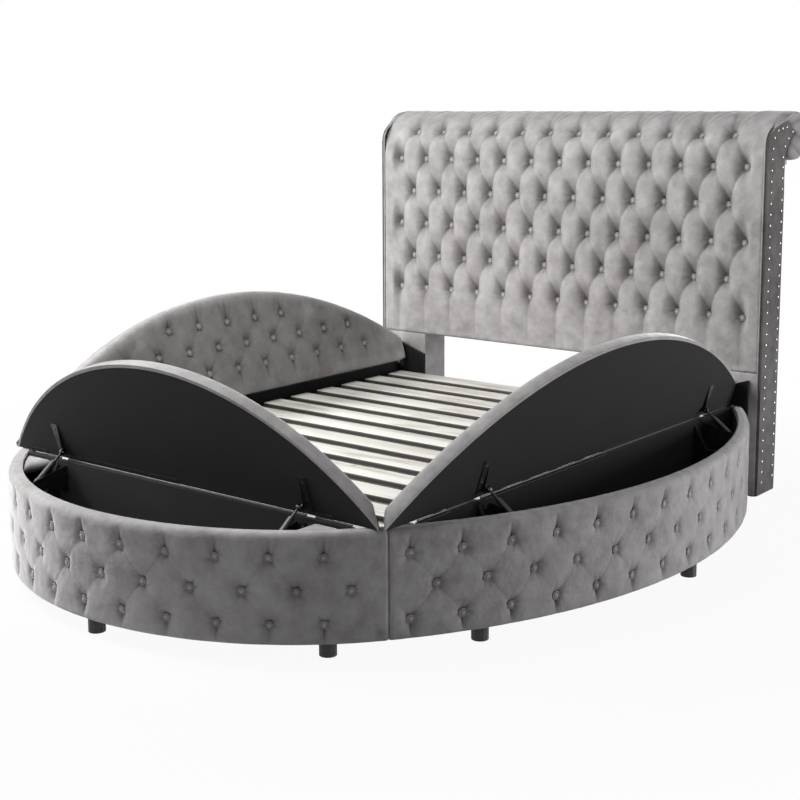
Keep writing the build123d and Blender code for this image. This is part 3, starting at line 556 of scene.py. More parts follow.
def repeated(name, shape, places, material, turnSpread=0.4):
    mesh = bpy.data.meshes.new(name)
    mesh.from_pydata([tuple(p) for p, _ in places], [], [])
    setVectors(mesh, "facing", [tuple(f) for _, f in places])
    piece = newPiece(name, mesh, material)
    modifier = piece.modifiers.new("repeat", "NODES")
    modifier.node_group = repeating
    setInputs(modifier, {"Shape": shape, "Material": material, "turnSpread": turnSpread})
    plainMesh(piece)
    smooth(piece.data, 50)
    return piece


def turnedShape(name, profile, sides):
    # A closed solid of revolution about z, from its lowest to its highest point
    angles = [2 * pi * k / sides for k in range(sides)]
    rings = [[(r * mm * cos(t), r * mm * sin(t), z * mm) for t in angles] for r, z in profile]
    return linked(name, ringedMesh(name, rings))


def settle(piece, nodes, body="bed_frame"):
    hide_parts(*nodes)
    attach(piece, body)


def holesIn(places, missing, reach):
    # Tufting fades out round a place on the button grid that has no button
    share = np.ones(places.shape[:-1])
    for centre in missing:
        gap = np.hypot(places[..., 0] - centre[0], places[..., 1] - centre[1])
        share = share * (1 - np.exp(-((gap / reach) ** 2)))
    return share


# Curved walls with their quilted covers
wall = {
    "bottom": 50, "top": 356.0, "hem": 9, "shoulderDraw": 19, "shoulderRise": 27, "cornerRound": 9,
    "rows": (105, 197, 289), "buttonMargin": 45, "buttonDepth": 8.6, "step": 5.0, "seamGap": 0.4,
    # Draw and height of the section's inner points, down to the hem
    "inside": ((42.6, 355.2), (43.8, 353.0), (44, 349), (44, 342.4), (28.2, 342.4), (28.2, 200),
               (28.2, 50.4)),
}
boxShapes = {
    "foot": {"radius": 977.02, "centre": -607.02, "seam": 0.9313, "squareEnd": 0, "pitch": 147,
             "firstColumn": 0},
    "side": {"radius": 1753.0, "centre": -1404.0, "seam": 0.6429, "squareEnd": 968, "pitch": 150,
             "firstColumn": 60},
}
wallTufting = {
    "rowPitch": 0.092, "lastRow": 2.0, "fold": 0.0014, "dimple": 0.0165, "arch": 0.12, "groove": 0.0013,
    "grooveWidth": 0.115, "pleatShareBelow": 0.8, "pleatShareAbove": 0.8, "pleatRun": 0.085, "fan": 0.0004,
    "uneven": 0.008, "dimpleGather": 1.7, "gathers": 0.0012, "lineShare": 0.1, "foldShade": 0.03,
    "deepest": 0.022,
}


def wallProfile():
    # Points round the cover's section: draw inwards, height, inward direction and share of tufting
    points = []
    hem, low, top = wall["hem"], wall["bottom"], wall["top"]
    for k in range(5):
        turn = pi / 2 * k / 4
        points.append((hem * (1 - sin(turn)), low + hem * (1 - cos(turn)), sin(turn), cos(turn), k / 8))
    z = low + hem + wall["step"]
    start = top - wall["shoulderRise"]
    while z < start - 1:
        points.append((0, z, 1, 0, min(1, 0.5 + (z - low - hem) / 30)))
        z += wall["step"]
    for k in range(13):
        turn = pi / 2 * k / 12
        points.append((wall["shoulderDraw"] * (1 - cos(turn)), start + wall["shoulderRise"] * sin(turn),
                       cos(turn), -sin(turn), 1 - eased(k / 7)))
    for draw in (24, 30, 36, 40):
        points.append((draw, top + 0.1, 0, -1, 0))
    points += [(draw, z, 0, 0, 0) for draw, z in wall["inside"]]
    return np.array(points)


def wallEnds(shape, radius):
    low = -shape["seam"] + wall["seamGap"] / shape["radius"]
    high = np.arcsin(shape["squareEnd"] / radius) if shape["squareEnd"] else -low + 0 * radius
    return low, high


def gridSites(shape):
    # Every place of the wall's button grid, and those that have a button
    radius = shape["radius"]
    low, high = (float(t) * radius for t in wallEnds(shape, np.float64(radius)))
    start = low + shape["firstColumn"] if shape["firstColumn"] else 0
    half = shape["pitch"] / 2
    sites = []
    for k in range(int((low - start) / half) - 2, int((high - start) / half) + 3):
        s = start + k * half
        clear = low + wall["buttonMargin"] < s < high - wall["buttonMargin"]
        for row, z in enumerate(wall["rows"]):
            if row % 2 == k % 2:
                sites.append((s, z, clear))
    return start, sites


def wallMesh(box, name):
    shape = boxShapes["foot" if box == "foot" else "side"]
    radius = shape["radius"]
    profile = wallProfile()
    low, high = wallEnds(shape, radius - profile[:, 0])
    length = (float(wallEnds(shape, np.float64(radius))[1]) - low) * radius
    rounding = wall["cornerRound"]
    inset = [0, 0.6, 1.8, 3.6, 6.0, rounding]
    count = int((length - 2 * rounding) / wall["step"])
    middle = np.linspace(rounding, length - rounding, count + 1)[1:-1]
    places = np.concatenate([inset, middle, length - np.array(inset[::-1])]) / length
    start, sites = gridSites(shape)
    rings, along, puff, inward = [], [], [], []
    for share in places:
        near = min(share, 1 - share) * length
        pinch = rounding * (1 - sqrt(max(0, 1 - (1 - min(near / rounding, 1)) ** 2)))
        angle = low + (high - low) * share
        outer = profile[:, 0] < 20
        r = radius - profile[:, 0] - pinch * outer
        u, o = r * np.sin(angle), shape["centre"] + r * np.cos(angle)
        rings.append(boxPoint(box, u, o, profile[:, 1]))
        along.append(np.full(len(profile), low * radius + share * length))
        puff.append(profile[:, 4] * eased((near - 6) / 40))
        inward.append(boxVector(box, -np.sin(angle) * profile[:, 2], -np.cos(angle) * profile[:, 2],
                                profile[:, 3]))
    mesh = ringedMesh(name, rings)
    along, puff = np.array(along), np.array(puff)
    up = np.broadcast_to(profile[:, 1], along.shape)
    puff = puff * holesIn(np.stack([along, up], -1), [s[:2] for s in sites if not s[2]], 34)
    markGrid(mesh, along - start, up - wall["rows"][0], puff, inward)
    return mesh, shape, sites


def wallButtonPlaces(box, shape, sites):
    places = []
    r = shape["radius"] - wall["buttonDepth"]
    for s, z, clear in sites:
        if clear:
            t = s / shape["radius"]
            places.append((boxPoint(box, r * sin(t), shape["centre"] + r * cos(t), z),
                           boxVector(box, sin(t), cos(t), 0)))
    return places


# A covered button: a domed face with a drawn edge and a ring pressed in by the mould
buttonProfile = ((2, -3.0), (9.5, -1.5), (11.6, 0.4), (12.2, 2.0), (11.9, 3.7), (10.9, 4.9), (9.7, 4.7),
                 (8.9, 3.7), (8.1, 3.9), (6.2, 4.8), (3.6, 5.4), (0.6, 5.6))
nailProfile = ((1.2, -1.5), (5.4, -0.2), (6.0, 0.6), (5.7, 1.9), (4.6, 3.2), (2.8, 4.1), (0.4, 4.4))
screwProfile = ((1.5, -1.2), (3.6, -0.2), (3.9, 0.3), (3.5, 1.0), (2.2, 1.5), (1.2, 1.5), (1.0, 0.9),
                (0.2, 0.9))
# Painted shade in the groove and under the rim
buttonShade = (1, 1, 0.9, 0.35, 0.1, 0, 0.3, 0.85, 0.6, 0.1, 0, 0)
buttonSides, smallSides = 18, 12
buttonShape = turnedShape("buttonShape", buttonProfile, buttonSides)
setNumbers(buttonShape.data, "crease", np.repeat(buttonShade, buttonSides))
nailShape = turnedShape("nailShape", nailProfile, smallSides)
screwShape = turnedShape("screwShape", screwProfile, smallSides)

wallButtons = []
for box in ("foot", "left", "right"):
    mesh, shape, sites = wallMesh(box, f"{box}WallCover")
    sizes = {**wallTufting, "pitch": shape["pitch"] * mm, "seed": 3.0 + len(wallButtons)}
    cover = tufted(f"{box}WallCover", mesh, sizes, greyVelvet)
    settle(cover, [f"{box}_wall_upholstery"])
    wallButtons += wallButtonPlaces(box, shape, sites)
settle(repeated("wallButtons", buttonShape, wallButtons, greyVelvet), ["wall_buttons"])
print("wall covers done:", len(wallButtons), "buttons")


# Lids: cushion and cover, wrapped round the board's edge and turned under
lid = {
    "near": 3.3, "board": 15.0, "edge": 28.0, "crown": 55.0, "edgeRun": 36.0, "skin": 1.2, "turnUnder": 10.0,
    "rows": (105, 197, 289), "buttonMargin": 62, "buttonDepth": 11.0, "step": 6.0,
}
lidShapes = {
    "foot": {"radius": 962.1, "centre": -570.1, "low": -770, "squareEnd": 0, "pitch": 147, "shift": 0},
    "side": {"radius": 1671.5, "centre": -1271.5, "low": -1070, "squareEnd": 958, "pitch": 150, "shift": 102},
}
lidTufting = {
    "rowPitch": 0.092, "lastRow": 2.0, "fold": 0.0024, "dimple": 0.019, "arch": 0.1, "groove": 0.0008,
    "grooveWidth": 0.13, "pleatShareBelow": 0.5, "pleatShareAbove": 0.5, "pleatRun": 0.10, "fan": 0.0010,
    "uneven": 0.008, "dimpleGather": 1.4, "gathers": 0.0012, "lineShare": 0.1, "foldShade": 0.04,
    # The cushion tops get a flat painted shade besides the tufting's
    "deepest": 0.030, "shade": 0.38,
}


def lidFar(shape, u):
    return shape["centre"] + np.sqrt(shape["radius"] ** 2 - np.asarray(u, float) ** 2)


def insideLid(shape, u, s):
    margin = lid["buttonMargin"]
    high = shape["squareEnd"] or -shape["low"]
    return (hypot(u, s - shape["centre"]) < shape["radius"] - margin
            and shape["low"] + margin < u < high - margin)


def lidSites(shape):
    half = shape["pitch"] / 2
    sites = []
    for k in range(-18, 19):
        u = shape["shift"] + k * half
        for row, s in enumerate(lid["rows"]):
            if row % 2 == k % 2:
                sites.append((u, s, insideLid(shape, u, s)))
    return sites


def lidMesh(box, name):
    shape = lidShapes["foot" if box == "foot" else "side"]
    low, high = shape["low"], shape["squareEnd"] or -shape["low"]
    ends = np.array([0.4, 1.5, 4, 8, 14, 22, 32])
    count = int((high - low - 64) / lid["step"])
    us = np.concatenate([low + ends, np.linspace(low + 32, high - 32, count + 1)[1:-1], high - ends[::-1]])
    near = lid["near"]
    far = lidFar(shape, us)
    wide = far - near
    edge = np.array([0, 1.2, 3.2, 6.5, 11, 17, 25, lid["edgeRun"]])
    inner = np.linspace(0, 1, 58)[1:-1]
    rings, ups, puffs = [], [], []
    sites = lidSites(shape)
    for u, reach, width in zip(us, far, wide):
        run = edge * min(1, width / (2.2 * lid["edgeRun"]))
        s = np.concatenate([near + run, near + run[-1] + (width - 2 * run[-1]) * inner, reach - run[::-1]])
        gap = np.minimum(s - near, shape["radius"] - np.hypot(u, s - shape["centre"]))
        if shape["squareEnd"]:
            gap = np.minimum(gap, high - u)
        climb = np.sqrt(np.clip(1 - (1 - np.clip(gap / lid["edgeRun"], 0, 1)) ** 2, 0, 1))
        n = lid["edge"] + (lid["crown"] - lid["edge"]) * climb
        tip = u - low if shape["squareEnd"] else min(u - low, high - u)
        limit = max(0.3, tip)
        skin = lid["skin"]
        loop = [(near, 2.2), (near - skin, 2.6), (near - skin, 10), (near - skin, 18),
                (near - skin * 0.6, 24)]
        after = [(reach + skin * 0.6, 24), (reach + skin, 18), (reach + skin, 10), (reach + skin, 0.8),
                 (reach + skin * 0.7, -0.18), (reach - lid["turnUnder"], -0.18),
                 (reach - lid["turnUnder"], -0.04), (reach + 0.12, -0.04),
                 (reach + 0.12, lid["board"] + 0.05), (near - 0.1, lid["board"] + 0.05), (near - 0.1, 2.2)]
        across = np.concatenate([[p[0] for p in loop], s, [p[0] for p in after]])
        height = np.concatenate([[p[1] for p in loop], n, [p[1] for p in after]])
        height = np.minimum(height, limit)
        rings.append(lidPoint(box, u, across, height))
        ups.append(across)
        spots = np.stack([np.full(len(s), u), s], -1)
        share = eased((gap - 6) / 46) * eased(tip / 90)
        share = share * holesIn(spots, [p[:2] for p in sites if not p[2]], 40)
        puffs.append(np.concatenate([np.zeros(len(loop)), share, np.zeros(len(after))]))
    mesh = ringedMesh(name, rings)
    ups = np.array(ups)
    along = np.repeat(us - shape["shift"], ups.shape[1])
    markGrid(mesh, along, ups - lid["rows"][0], puffs, np.tile(-lidNormal(box), (ups.size, 1)))
    return mesh, shape, sites


for box in ("foot", "left", "right"):
    mesh, shape, sites = lidMesh(box, f"{box}LidCushion")
    sizes = {**lidTufting, "pitch": shape["pitch"] * mm, "seed": 11.0}
    cushion = tufted(f"{box}LidCushion", mesh, sizes, greyVelvet)
    settle(cushion, [f"{box}_lid_cushion"], f"{box}_lid")
    seat = lid["crown"] - lid["buttonDepth"]
    places = [(lidPoint(box, u, s, seat), lidNormal(box)) for u, s, clear in sites if clear]
    buttons = repeated(f"{box}LidButtons", buttonShape, places, greyVelvet)
    settle(buttons, [f"{box}_lid_buttons"], body=f"{box}_lid")
print("lids done")


# Headboard: y is measured from its face, and a path height runs up the face and over the roll
headboard = {
    "face": 1070, "half": 885, "under": 482, "bend": 1245, "frontRadius": 195, "rollRadius": 90, "foam": 40,
    "tuftEdge": 804, "borderFade": 36, "sideDraw": 12, "stepAcross": 5.4, "stepUp": 5.0, "buttonDepth": 28.5,
    "firstRow": 682, "rowPitch": 139, "rows": 6, "pitch": 134, "columns": 13,
}
headboardTufting = {
    "pitch": 0.134, "rowPitch": 0.139, "lastRow": 5.0, "fold": 0.0095, "dimple": 0.029, "arch": 0.62,
    "groove": 0.0016, "grooveWidth": 0.13, "pleatShareBelow": 0.5, "pleatShareAbove": 0.16, "pleatRun": 0.30,
    "fan": 0.0034, "fanLean": 1.6, "uneven": 0.012, "dimpleGather": 0.95, "gathers": 0.0026,
    "lineShare": 0.45, "foldShade": 0.14, "deepest": 0.036, "seed": 6.0,
}


def pathPoint(height, depth):
    # Place and inward direction in y and z at a path height, at a depth under the surface
    height, depth = np.broadcast_arrays(np.asarray(height, float), np.asarray(depth, float))
    front, roll = headboard["frontRadius"], headboard["rollRadius"]
    bend = np.clip((height - headboard["bend"]) / front, 0, pi / 2)
    turn = np.clip((height - headboard["bend"] - front * pi / 2) / roll, 0, pi)
    onRoll = turn > 0
    y = np.where(onRoll, front + (roll - depth) * np.sin(turn), front - (front - depth) * np.cos(bend))
    flat = np.minimum(height, headboard["bend"])
    z = np.where(onRoll, headboard["bend"] + front - roll + (roll - depth) * np.cos(turn),
                 flat + (front - depth) * np.sin(bend))
    inY = np.where(onRoll, -np.sin(turn), np.cos(bend))
    inZ = np.where(onRoll, -np.cos(turn), -np.sin(bend))
    return y, z, inY, inZ


def headboardMesh():
    curved = headboard["frontRadius"] * pi / 2 + headboard["rollRadius"] * pi
    total = headboard["bend"] - headboard["under"] + curved
    count = int(total / headboard["stepUp"])
    lows = np.array([0, 0.8, 2.5, 5])
    outer = headboard["under"] + np.concatenate([lows, np.linspace(8, total, count)])
    seam = 12 * (1 - np.sqrt(np.clip(1 - (1 - np.clip((outer - headboard["under"]) / 12, 0, 1)) ** 2, 0, 1)))
    inner = np.linspace(headboard["under"] + total, headboard["under"], 24)
    heights = np.concatenate([outer, inner])
    depths = np.concatenate([seam, np.full(len(inner), headboard["foam"])])
    front = np.concatenate([np.ones(len(outer)), np.zeros(len(inner))])
    y, z, inY, inZ = pathPoint(heights, depths)
    half = headboard["half"]
    ends = np.array([0, 0.8, 2.4, 5, 9])
    columns = int((2 * half - 24) / headboard["stepAcross"])
    xs = np.concatenate([-half + ends, np.linspace(-half + 12, half - 12, columns), half - ends[::-1]])
    rings, along, puff = [], [], []
    for x in xs:
        near = half - abs(x)
        draw = headboard["sideDraw"] * (1 - sqrt(max(0, 1 - (1 - min(near / 12, 1)) ** 2)))
        # The roll runs straight out to its ends
        draw = draw * (1 - 0.85 * eased((heights - 1285) / 50))
        rings.append(np.stack([np.full(len(y), x), headboard["face"] + y + draw * inY * front,
                               z + draw * inZ * front], -1) * mm)
        along.append(np.full(len(y), np.clip(x, -headboard["tuftEdge"], headboard["tuftEdge"])))
        fade = 1 - eased((abs(x) - headboard["tuftEdge"]) / headboard["borderFade"])
        lower = eased((heights - headboard["under"]) / 26)
        puff.append(front * fade * lower)
    mesh = ringedMesh("headboardFront", rings)
    inward = np.tile(np.stack([0 * inY, inY, inZ], -1), (len(xs), 1))
    markGrid(mesh, along, np.tile(heights - headboard["firstRow"], len(xs)), puff, inward)
    return mesh


def headboardButtonPlaces():
    places = []
    for row in range(headboard["rows"]):
        height = headboard["firstRow"] + headboard["rowPitch"] * row
        y, z, inY, inZ = (float(v) for v in pathPoint(height, headboard["buttonDepth"]))
        # Every other row has one button fewer and stands half a pitch aside
        count = headboard["columns"] - row % 2
        for k in range(count):
            x = (k - (count - 1) / 2) * headboard["pitch"]
            places.append((Vector((x, headboard["face"] + y, z)) * mm, Vector((0, -inY, -inZ))))
    return places


front = tufted("headboardFront", headboardMesh(), headboardTufting, greyVelvet)
settle(front, ["headboard_tufted_panel"])
headButtons = repeated("headboardButtons", buttonShape, headboardButtonPlaces(), greyVelvet)
settle(headButtons, ["headboard_buttons"])
print("headboard front done")


# Headboard's end panels, roll ends, back, legs and trim
panelOutline = {
    "shoulder": ((2, 1308), (14, 1352), (49, 1378)), "crest": (150, 1407), "beak": (228, 1362),
    "throat": (172, 1313), "nape": (147, 1260), "bottom": 20, "thickness": 12, "edgeRound": 3.0,
}


def arcThrough(a, b, c, count):
    (ax, ay), (bx, by), (cx, cy) = a, b, c
    d = 2 * (ax * (by - cy) + bx * (cy - ay) + cx * (ay - by))
    ux = ((ax**2 + ay**2) * (by - cy) + (bx**2 + by**2) * (cy - ay) + (cx**2 + cy**2) * (ay - by)) / d
    uy = ((ax**2 + ay**2) * (cx - bx) + (bx**2 + by**2) * (ax - cx) + (cx**2 + cy**2) * (bx - ax)) / d
    radius = hypot(ax - ux, ay - uy)
    first, middle, last = (np.arctan2(q[1] - uy, q[0] - ux) for q in (a, b, c))
    sweep = (last - first) % (2 * pi)
    if (middle - first) % (2 * pi) > sweep:
        sweep -= 2 * pi
    turns = first + sweep * np.linspace(0, 1, count)
    return [(ux + radius * cos(t), uy + radius * sin(t)) for t in turns]


def lineBetween(a, b, count):
    return [(a[0] + (b[0] - a[0]) * k / count, a[1] + (b[1] - a[1]) * k / count) for k in range(count + 1)]


def scrollPath():
    # The panel's upper edge from its front shoulder over the beak to the nape
    points = arcThrough(*panelOutline["shoulder"], 14)
    points += lineBetween(panelOutline["shoulder"][-1], panelOutline["crest"], 8)[1:]
    points += lineBetween(panelOutline["crest"], panelOutline["beak"], 8)[1:]
    points += arcThrough(panelOutline["beak"], panelOutline["throat"], panelOutline["nape"], 16)[1:]
    return points


def rollPath():
    # The roll's outline from the same shoulder over its top and round to the nape
    front, roll = headboard["frontRadius"], headboard["rollRadius"]
    start = asin((1308 - headboard["bend"]) / front)
    turns = np.linspace(start, pi / 2, 30)
    points = [(front - front * cos(t), headboard["bend"] + front * sin(t)) for t in turns]
    turns = np.linspace(0, pi, 34)[1:]
    points += [(front + roll * sin(t), headboard["bend"] + front - roll + roll * cos(t)) for t in turns]
    return points + lineBetween(points[-1], panelOutline["nape"], 6)[1:]


def evenly(points, count):
    points = np.array(points, float)
    steps = np.concatenate([[0], np.cumsum(np.hypot(*np.diff(points, axis=0).T))])
    marks = np.linspace(0, steps[-1], count)
    return np.stack([np.interp(marks, steps, points[:, k]) for k in (0, 1)], -1)


def mirrored(mesh):
    # The same mesh on both sides of the middle plane
    work = bmesh.new()
    work.from_mesh(mesh)
    copy = bmesh.ops.duplicate(work, geom=work.verts[:] + work.edges[:] + work.faces[:])["geom"]
    verts = [g for g in copy if isinstance(g, bmesh.types.BMVert)]
    faces = [g for g in copy if isinstance(g, bmesh.types.BMFace)]
    for vert in verts:
        vert.co.x = -vert.co.x
    bmesh.ops.reverse_faces(work, faces=faces)
    work.to_mesh(mesh)
    work.free()
    return mesh


def endPanels():
    outline = [(2, panelOutline["bottom"])] + lineBetween((2, panelOutline["bottom"]), (2, 1308), 12)[1:]
    outline += scrollPath()[1:] + lineBetween(panelOutline["nape"], (147, panelOutline["bottom"]), 12)[1:]
    work = bmesh.new()
    low = headboard["half"]
    verts = [work.verts.new((low * mm, (headboard["face"] + y) * mm, z * mm)) for y, z in outline]
    face = work.faces.new(verts)
    grown = bmesh.ops.extrude_face_region(work, geom=[face])["geom"]
    top = [g for g in grown if isinstance(g, bmesh.types.BMVert)]
    for vert in top:
        vert.co.x += panelOutline["thickness"] * mm
    rim = [e for e in work.edges if all(v in top for v in e.verts) and len(e.link_faces) == 2]
    rounded(work, rim, panelOutline["edgeRound"], 3)
    bmesh.ops.recalc_face_normals(work, faces=work.faces)
    mesh = mirrored(meshOf("headboardEndPanels", work))
    smooth(mesh, 40)
    return newPiece("headboardEndPanels", mesh, shadedPanelVelvet)


rollEnd = {"sections": 120, "edge": 9, "low": 10.5, "swell": 25, "pleatDepth": 4.0, "flareFrom": 12,
           "flareOver": 30, "fullWidth": 26}


def rollEnds():
    sections = rollEnd["sections"]
    inner, outer = evenly(scrollPath(), sections), evenly(rollPath(), sections)
    low = headboard["half"] + 0.2
    rings, paintedShades = [], []
    for k, (a, b) in enumerate(zip(inner, outer)):
        width = max(1e-6, np.hypot(*(b - a)))
        bend = min(0.5, rollEnd["edge"] / width)
        turned = 1 - bend * (1 - np.sin(np.linspace(0, pi / 2, 8))[1:])
        shares = np.concatenate([np.linspace(0, 1 - bend, 14), turned])
        spot = a + (b - a) * shares[:, None]
        edge = np.sqrt(np.clip(1 - np.clip((shares - 1 + bend) / bend, 0, 1) ** 2, 0, 1))
        pleat = abs(sin(k * 0.19 + 0.5 * sin(k * 0.13))) ** 0.5
        deep = rollEnd["pleatDepth"] * (1 - pleat) * np.sin(shares * pi) ** 0.5
        # The roll spreads once it is past the panel's front
        flare = eased((k - rollEnd["flareFrom"]) / rollEnd["flareOver"])
        rise = rollEnd["low"] + rollEnd["swell"] * flare * shares**0.6 - deep * (0.3 + 0.7 * flare)
        x = low + np.maximum(rise * edge * min(1, width / rollEnd["fullWidth"]), 0.3)
        frontSide = np.stack([x, headboard["face"] + spot[:, 0], spot[:, 1]], -1)
        backSide = np.stack([np.full(2, low), headboard["face"] + spot[[-1, 0], 0], spot[[-1, 0], 1]], -1)
        rings.append(np.concatenate([frontSide, backSide]) * mm)
        # Painted shade: a little all over, more in the pleats' hollows and towards the panel's edge
        paintedShades.append(np.concatenate([0.22 + (1 - pleat) * 0.5 + 0.3 * (1 - shares) ** 4, [0, 0]]))
    mesh = ringedMesh("headboardRollEnds", rings)
    setNumbers(mesh, "crease", np.array(paintedShades))
    mirrored(cleaned(mesh))
    smooth(mesh, 60)
    return newPiece("headboardRollEnds", mesh, greyVelvet)


def tubeAlong(points, radius, sides=8):
    # A round tube along points in millimetres
    points = np.array(points, float)
    ahead = np.gradient(points, axis=0)
    ahead /= np.linalg.norm(ahead, axis=1)[:, None]
    side = np.cross(ahead, (1.0, 0, 0))
    side /= np.linalg.norm(side, axis=1)[:, None]
    lift = np.cross(ahead, side)
    turns = np.linspace(0, 2 * pi, sides, endpoint=False)
    return [(p + radius * (np.cos(turns)[:, None] * s + np.sin(turns)[:, None] * t)) * mm
            for p, s, t in zip(points, side, lift)]


def panelWelts():
    # Piping sewn in along the front edge of each end panel, up and over its scroll
    x = headboard["half"] - 1.5
    edge = lineBetween((1, 24), (1, 1300), 60) + scrollPath()[2:24]
    path = [(x, headboard["face"] + y, z) for y, z in edge]
    mesh = ringedMesh("headboardWelts", tubeAlong(path, 3.2))
    mirrored(mesh)
    smooth(mesh, 60)
    return newPiece("headboardWelts", mesh, greyVelvet)


# Two corners of each covered block, with y from the headboard's face
backBlock = {
    "leg": ((661, 3, 20), (884.6, 146, 481)), "back": ((-884.5, 131, 483), (884.5, 147, 1242)),
    "fold": ((-884.5, 131, 1243.5), (884.5, 194, 1259.5)), "rounding": 5,
}


def softBlock(name):
    low, high = (np.array(corner, float) + (0, headboard["face"], 0) for corner in backBlock[name])
    work = blockBetween(low, high)
    rounded(work, work.edges[:], backBlock["rounding"], 4)
    longEdges = [e for e in work.edges if e.calc_length() > 40 * mm]
    bmesh.ops.subdivide_edges(work, edges=longEdges, cuts=14, use_grid_fill=True)
    mesh = meshOf(name, work)
    smooth(mesh, 60)
    return mesh


def joined(name, meshes, material):
    work = bmesh.new()
    for mesh in meshes:
        work.from_mesh(mesh)
    result = meshOf(name, work)
    smooth(result, 60)
    return newPiece(name, result, material)


def headboardLegs():
    return newPiece("headboardLegs", mirrored(softBlock("leg")), greyVelvet)


def headboardBack():
    # The plain back cover, with a fold under the roll
    return joined("headboardBack", [softBlock("back"), softBlock("fold")], greyVelvet)


nail = {
    # Each row's distance from the face and its highest nail
    "rows": ((32, 1268), (125, 1237)), "lowest": 60, "pitch": 40,
    "scroll": ((37, 1306), (47, 1345), (76, 1371), (112, 1378), (150, 1383), (202, 1365), (167, 1341),
               (137, 1313), (123, 1274)),
}


def nailPlaces():
    spots = [(y, z) for y, top in nail["rows"] for z in range(top, nail["lowest"] - 1, -nail["pitch"])]
    spots += nail["scroll"]
    x = headboard["half"] + panelOutline["thickness"]
    return [(Vector((side * x, headboard["face"] + y, z)) * mm, Vector((side, 0, 0)))
            for side in (1, -1) for y, z in spots]


settle(endPanels(), ["headboard_end_panels"])
settle(rollEnds(), ["headboard_roll_ends"])
settle(panelWelts(), [])
settle(headboardLegs(), ["headboard_legs"])
settle(headboardBack(), ["headboard_back"])
nails = repeated("headboardNails", nailShape, nailPlaces(), slotMaterials["nail_metal"], 3.0)
settle(nails, ["headboard_nails"])
print("headboard done")


# Corner pads: small puffed triangles at the ends of the foot box
cornerPad = {"low": 562, "near": 20.6, "radius": 931.6, "bottom": 319.5, "top": 352.2, "rings": 16,
             "around": 90}


def cornerPads():
    pad = cornerPad
    centre = boxShapes["foot"]["centre"]
    tip = sqrt(pad["radius"] ** 2 - (pad["near"] - centre) ** 2)
    start, end = asin(tip / pad["radius"]), asin(pad["low"] / pad["radius"])
    arc = [(pad["radius"] * sin(t), centre + pad["radius"] * cos(t)) for t in np.linspace(start, end, 24)]
    corners = [(pad["low"], pad["near"]), *arc, (pad["low"], pad["near"])]
    outline = evenly(corners, pad["around"] + 1)[:-1]
    middle = outline.mean(0)
    for _ in range(2):
        outline = (outline + np.roll(outline, 1, 0) + np.roll(outline, -1, 0)) / 3
    half, rise = (pad["top"] - pad["bottom"]) / 2, (pad["top"] + pad["bottom"]) / 2
    angles = np.arctan2(outline[:, 1] - middle[1], outline[:, 0] - middle[0])
    rings = []
    turns = np.linspace(-pi / 2, pi / 2, 2 * pad["rings"] + 1)
    for turn in turns:
        share = max(0.015, cos(turn) ** 0.55)
        pleats = 0.6 * np.abs(np.sin(angles * 9 + 1)) * share**4 * (turn > 0)
        z = rise + half * np.sign(turn) * abs(sin(turn)) ** 0.8 - pleats * 3 * (share > 0.4)
        spot = middle + (outline - middle) * share
        rings.append(boxPoint("foot", spot[:, 0], spot[:, 1], z + 0 * angles))
    mesh = cleaned(ringedMesh("cornerPads", rings))
    mirrored(mesh)
    smooth(mesh, 70)
    return newPiece("cornerPads", mesh, greyVelvet)


settle(cornerPads(), ["foot_box_corner_pads"])


# Slats with eased edges
slat = {"half": 756.3, "width": 95, "thickness": 20, "top": 318, "last": 977, "pitch": 154, "count": 13,
        "rounding": 2.5}


def slatShape():
    reach = np.array((slat["half"], slat["width"] / 2, slat["thickness"] / 2))
    work = blockBetween(-reach, reach)
    rounded(work, work.edges[:], slat["rounding"], 2)
    return linked("slatShape", meshOf("slatShape", work))


slatForm = slatShape()
slatPlaces = [(Vector((0, slat["last"] - k * slat["pitch"], slat["top"] - slat["thickness"] / 2)) * mm,
               Vector((0, 0, 1))) for k in range(slat["count"])]
slats = repeated("slatSet", slatForm, slatPlaces, slotMaterials["poplar"], 0.0)
settle(slats, ["slats"])


# Screws in the lift mechanisms' plates
strutPlaces = {"foot": (-508, 508), "left": (-634, 715), "right": (-634, 715)}
screws = {"armOut": (52, 106), "armIn": 14, "armSide": 6.5, "armThickness": 3.0,
          "bracketHeights": (276, 326), "bracketAside": 9, "bracketFace": 22.3}


def armScrews(box):
    places = []
    for place in strutPlaces[box]:
        side = 1 if place > 0 else -1
        u = place + side * (screws["armSide"] + screws["armIn"])
        places += [(lidPoint(box, u, s, -screws["armThickness"]), -lidNormal(box))
                   for s in screws["armOut"]]
    return places


def bracketScrews():
    places = []
    for box, spots in strutPlaces.items():
        for place in spots:
            side = 1 if place > 0 else -1
            u = place + side * screws["bracketAside"]
            places += [(boxPoint(box, u, screws["bracketFace"], z), boxVector(box, 0, 1, 0))
                       for z in screws["bracketHeights"]]
    return places


for box in ("foot", "left", "right"):
    piece = repeated(f"{box}ArmScrews", screwShape, armScrews(box), slotMaterials["black_steel"], 3.0)
    settle(piece, [], body=f"{box}_lid")
piece = repeated("bracketScrews", screwShape, bracketScrews(), slotMaterials["black_steel"], 3.0)
settle(piece, [])
for shape in (buttonShape, nailShape, screwShape, slatForm):
    bpy.data.objects.remove(shape)
print("small parts done")


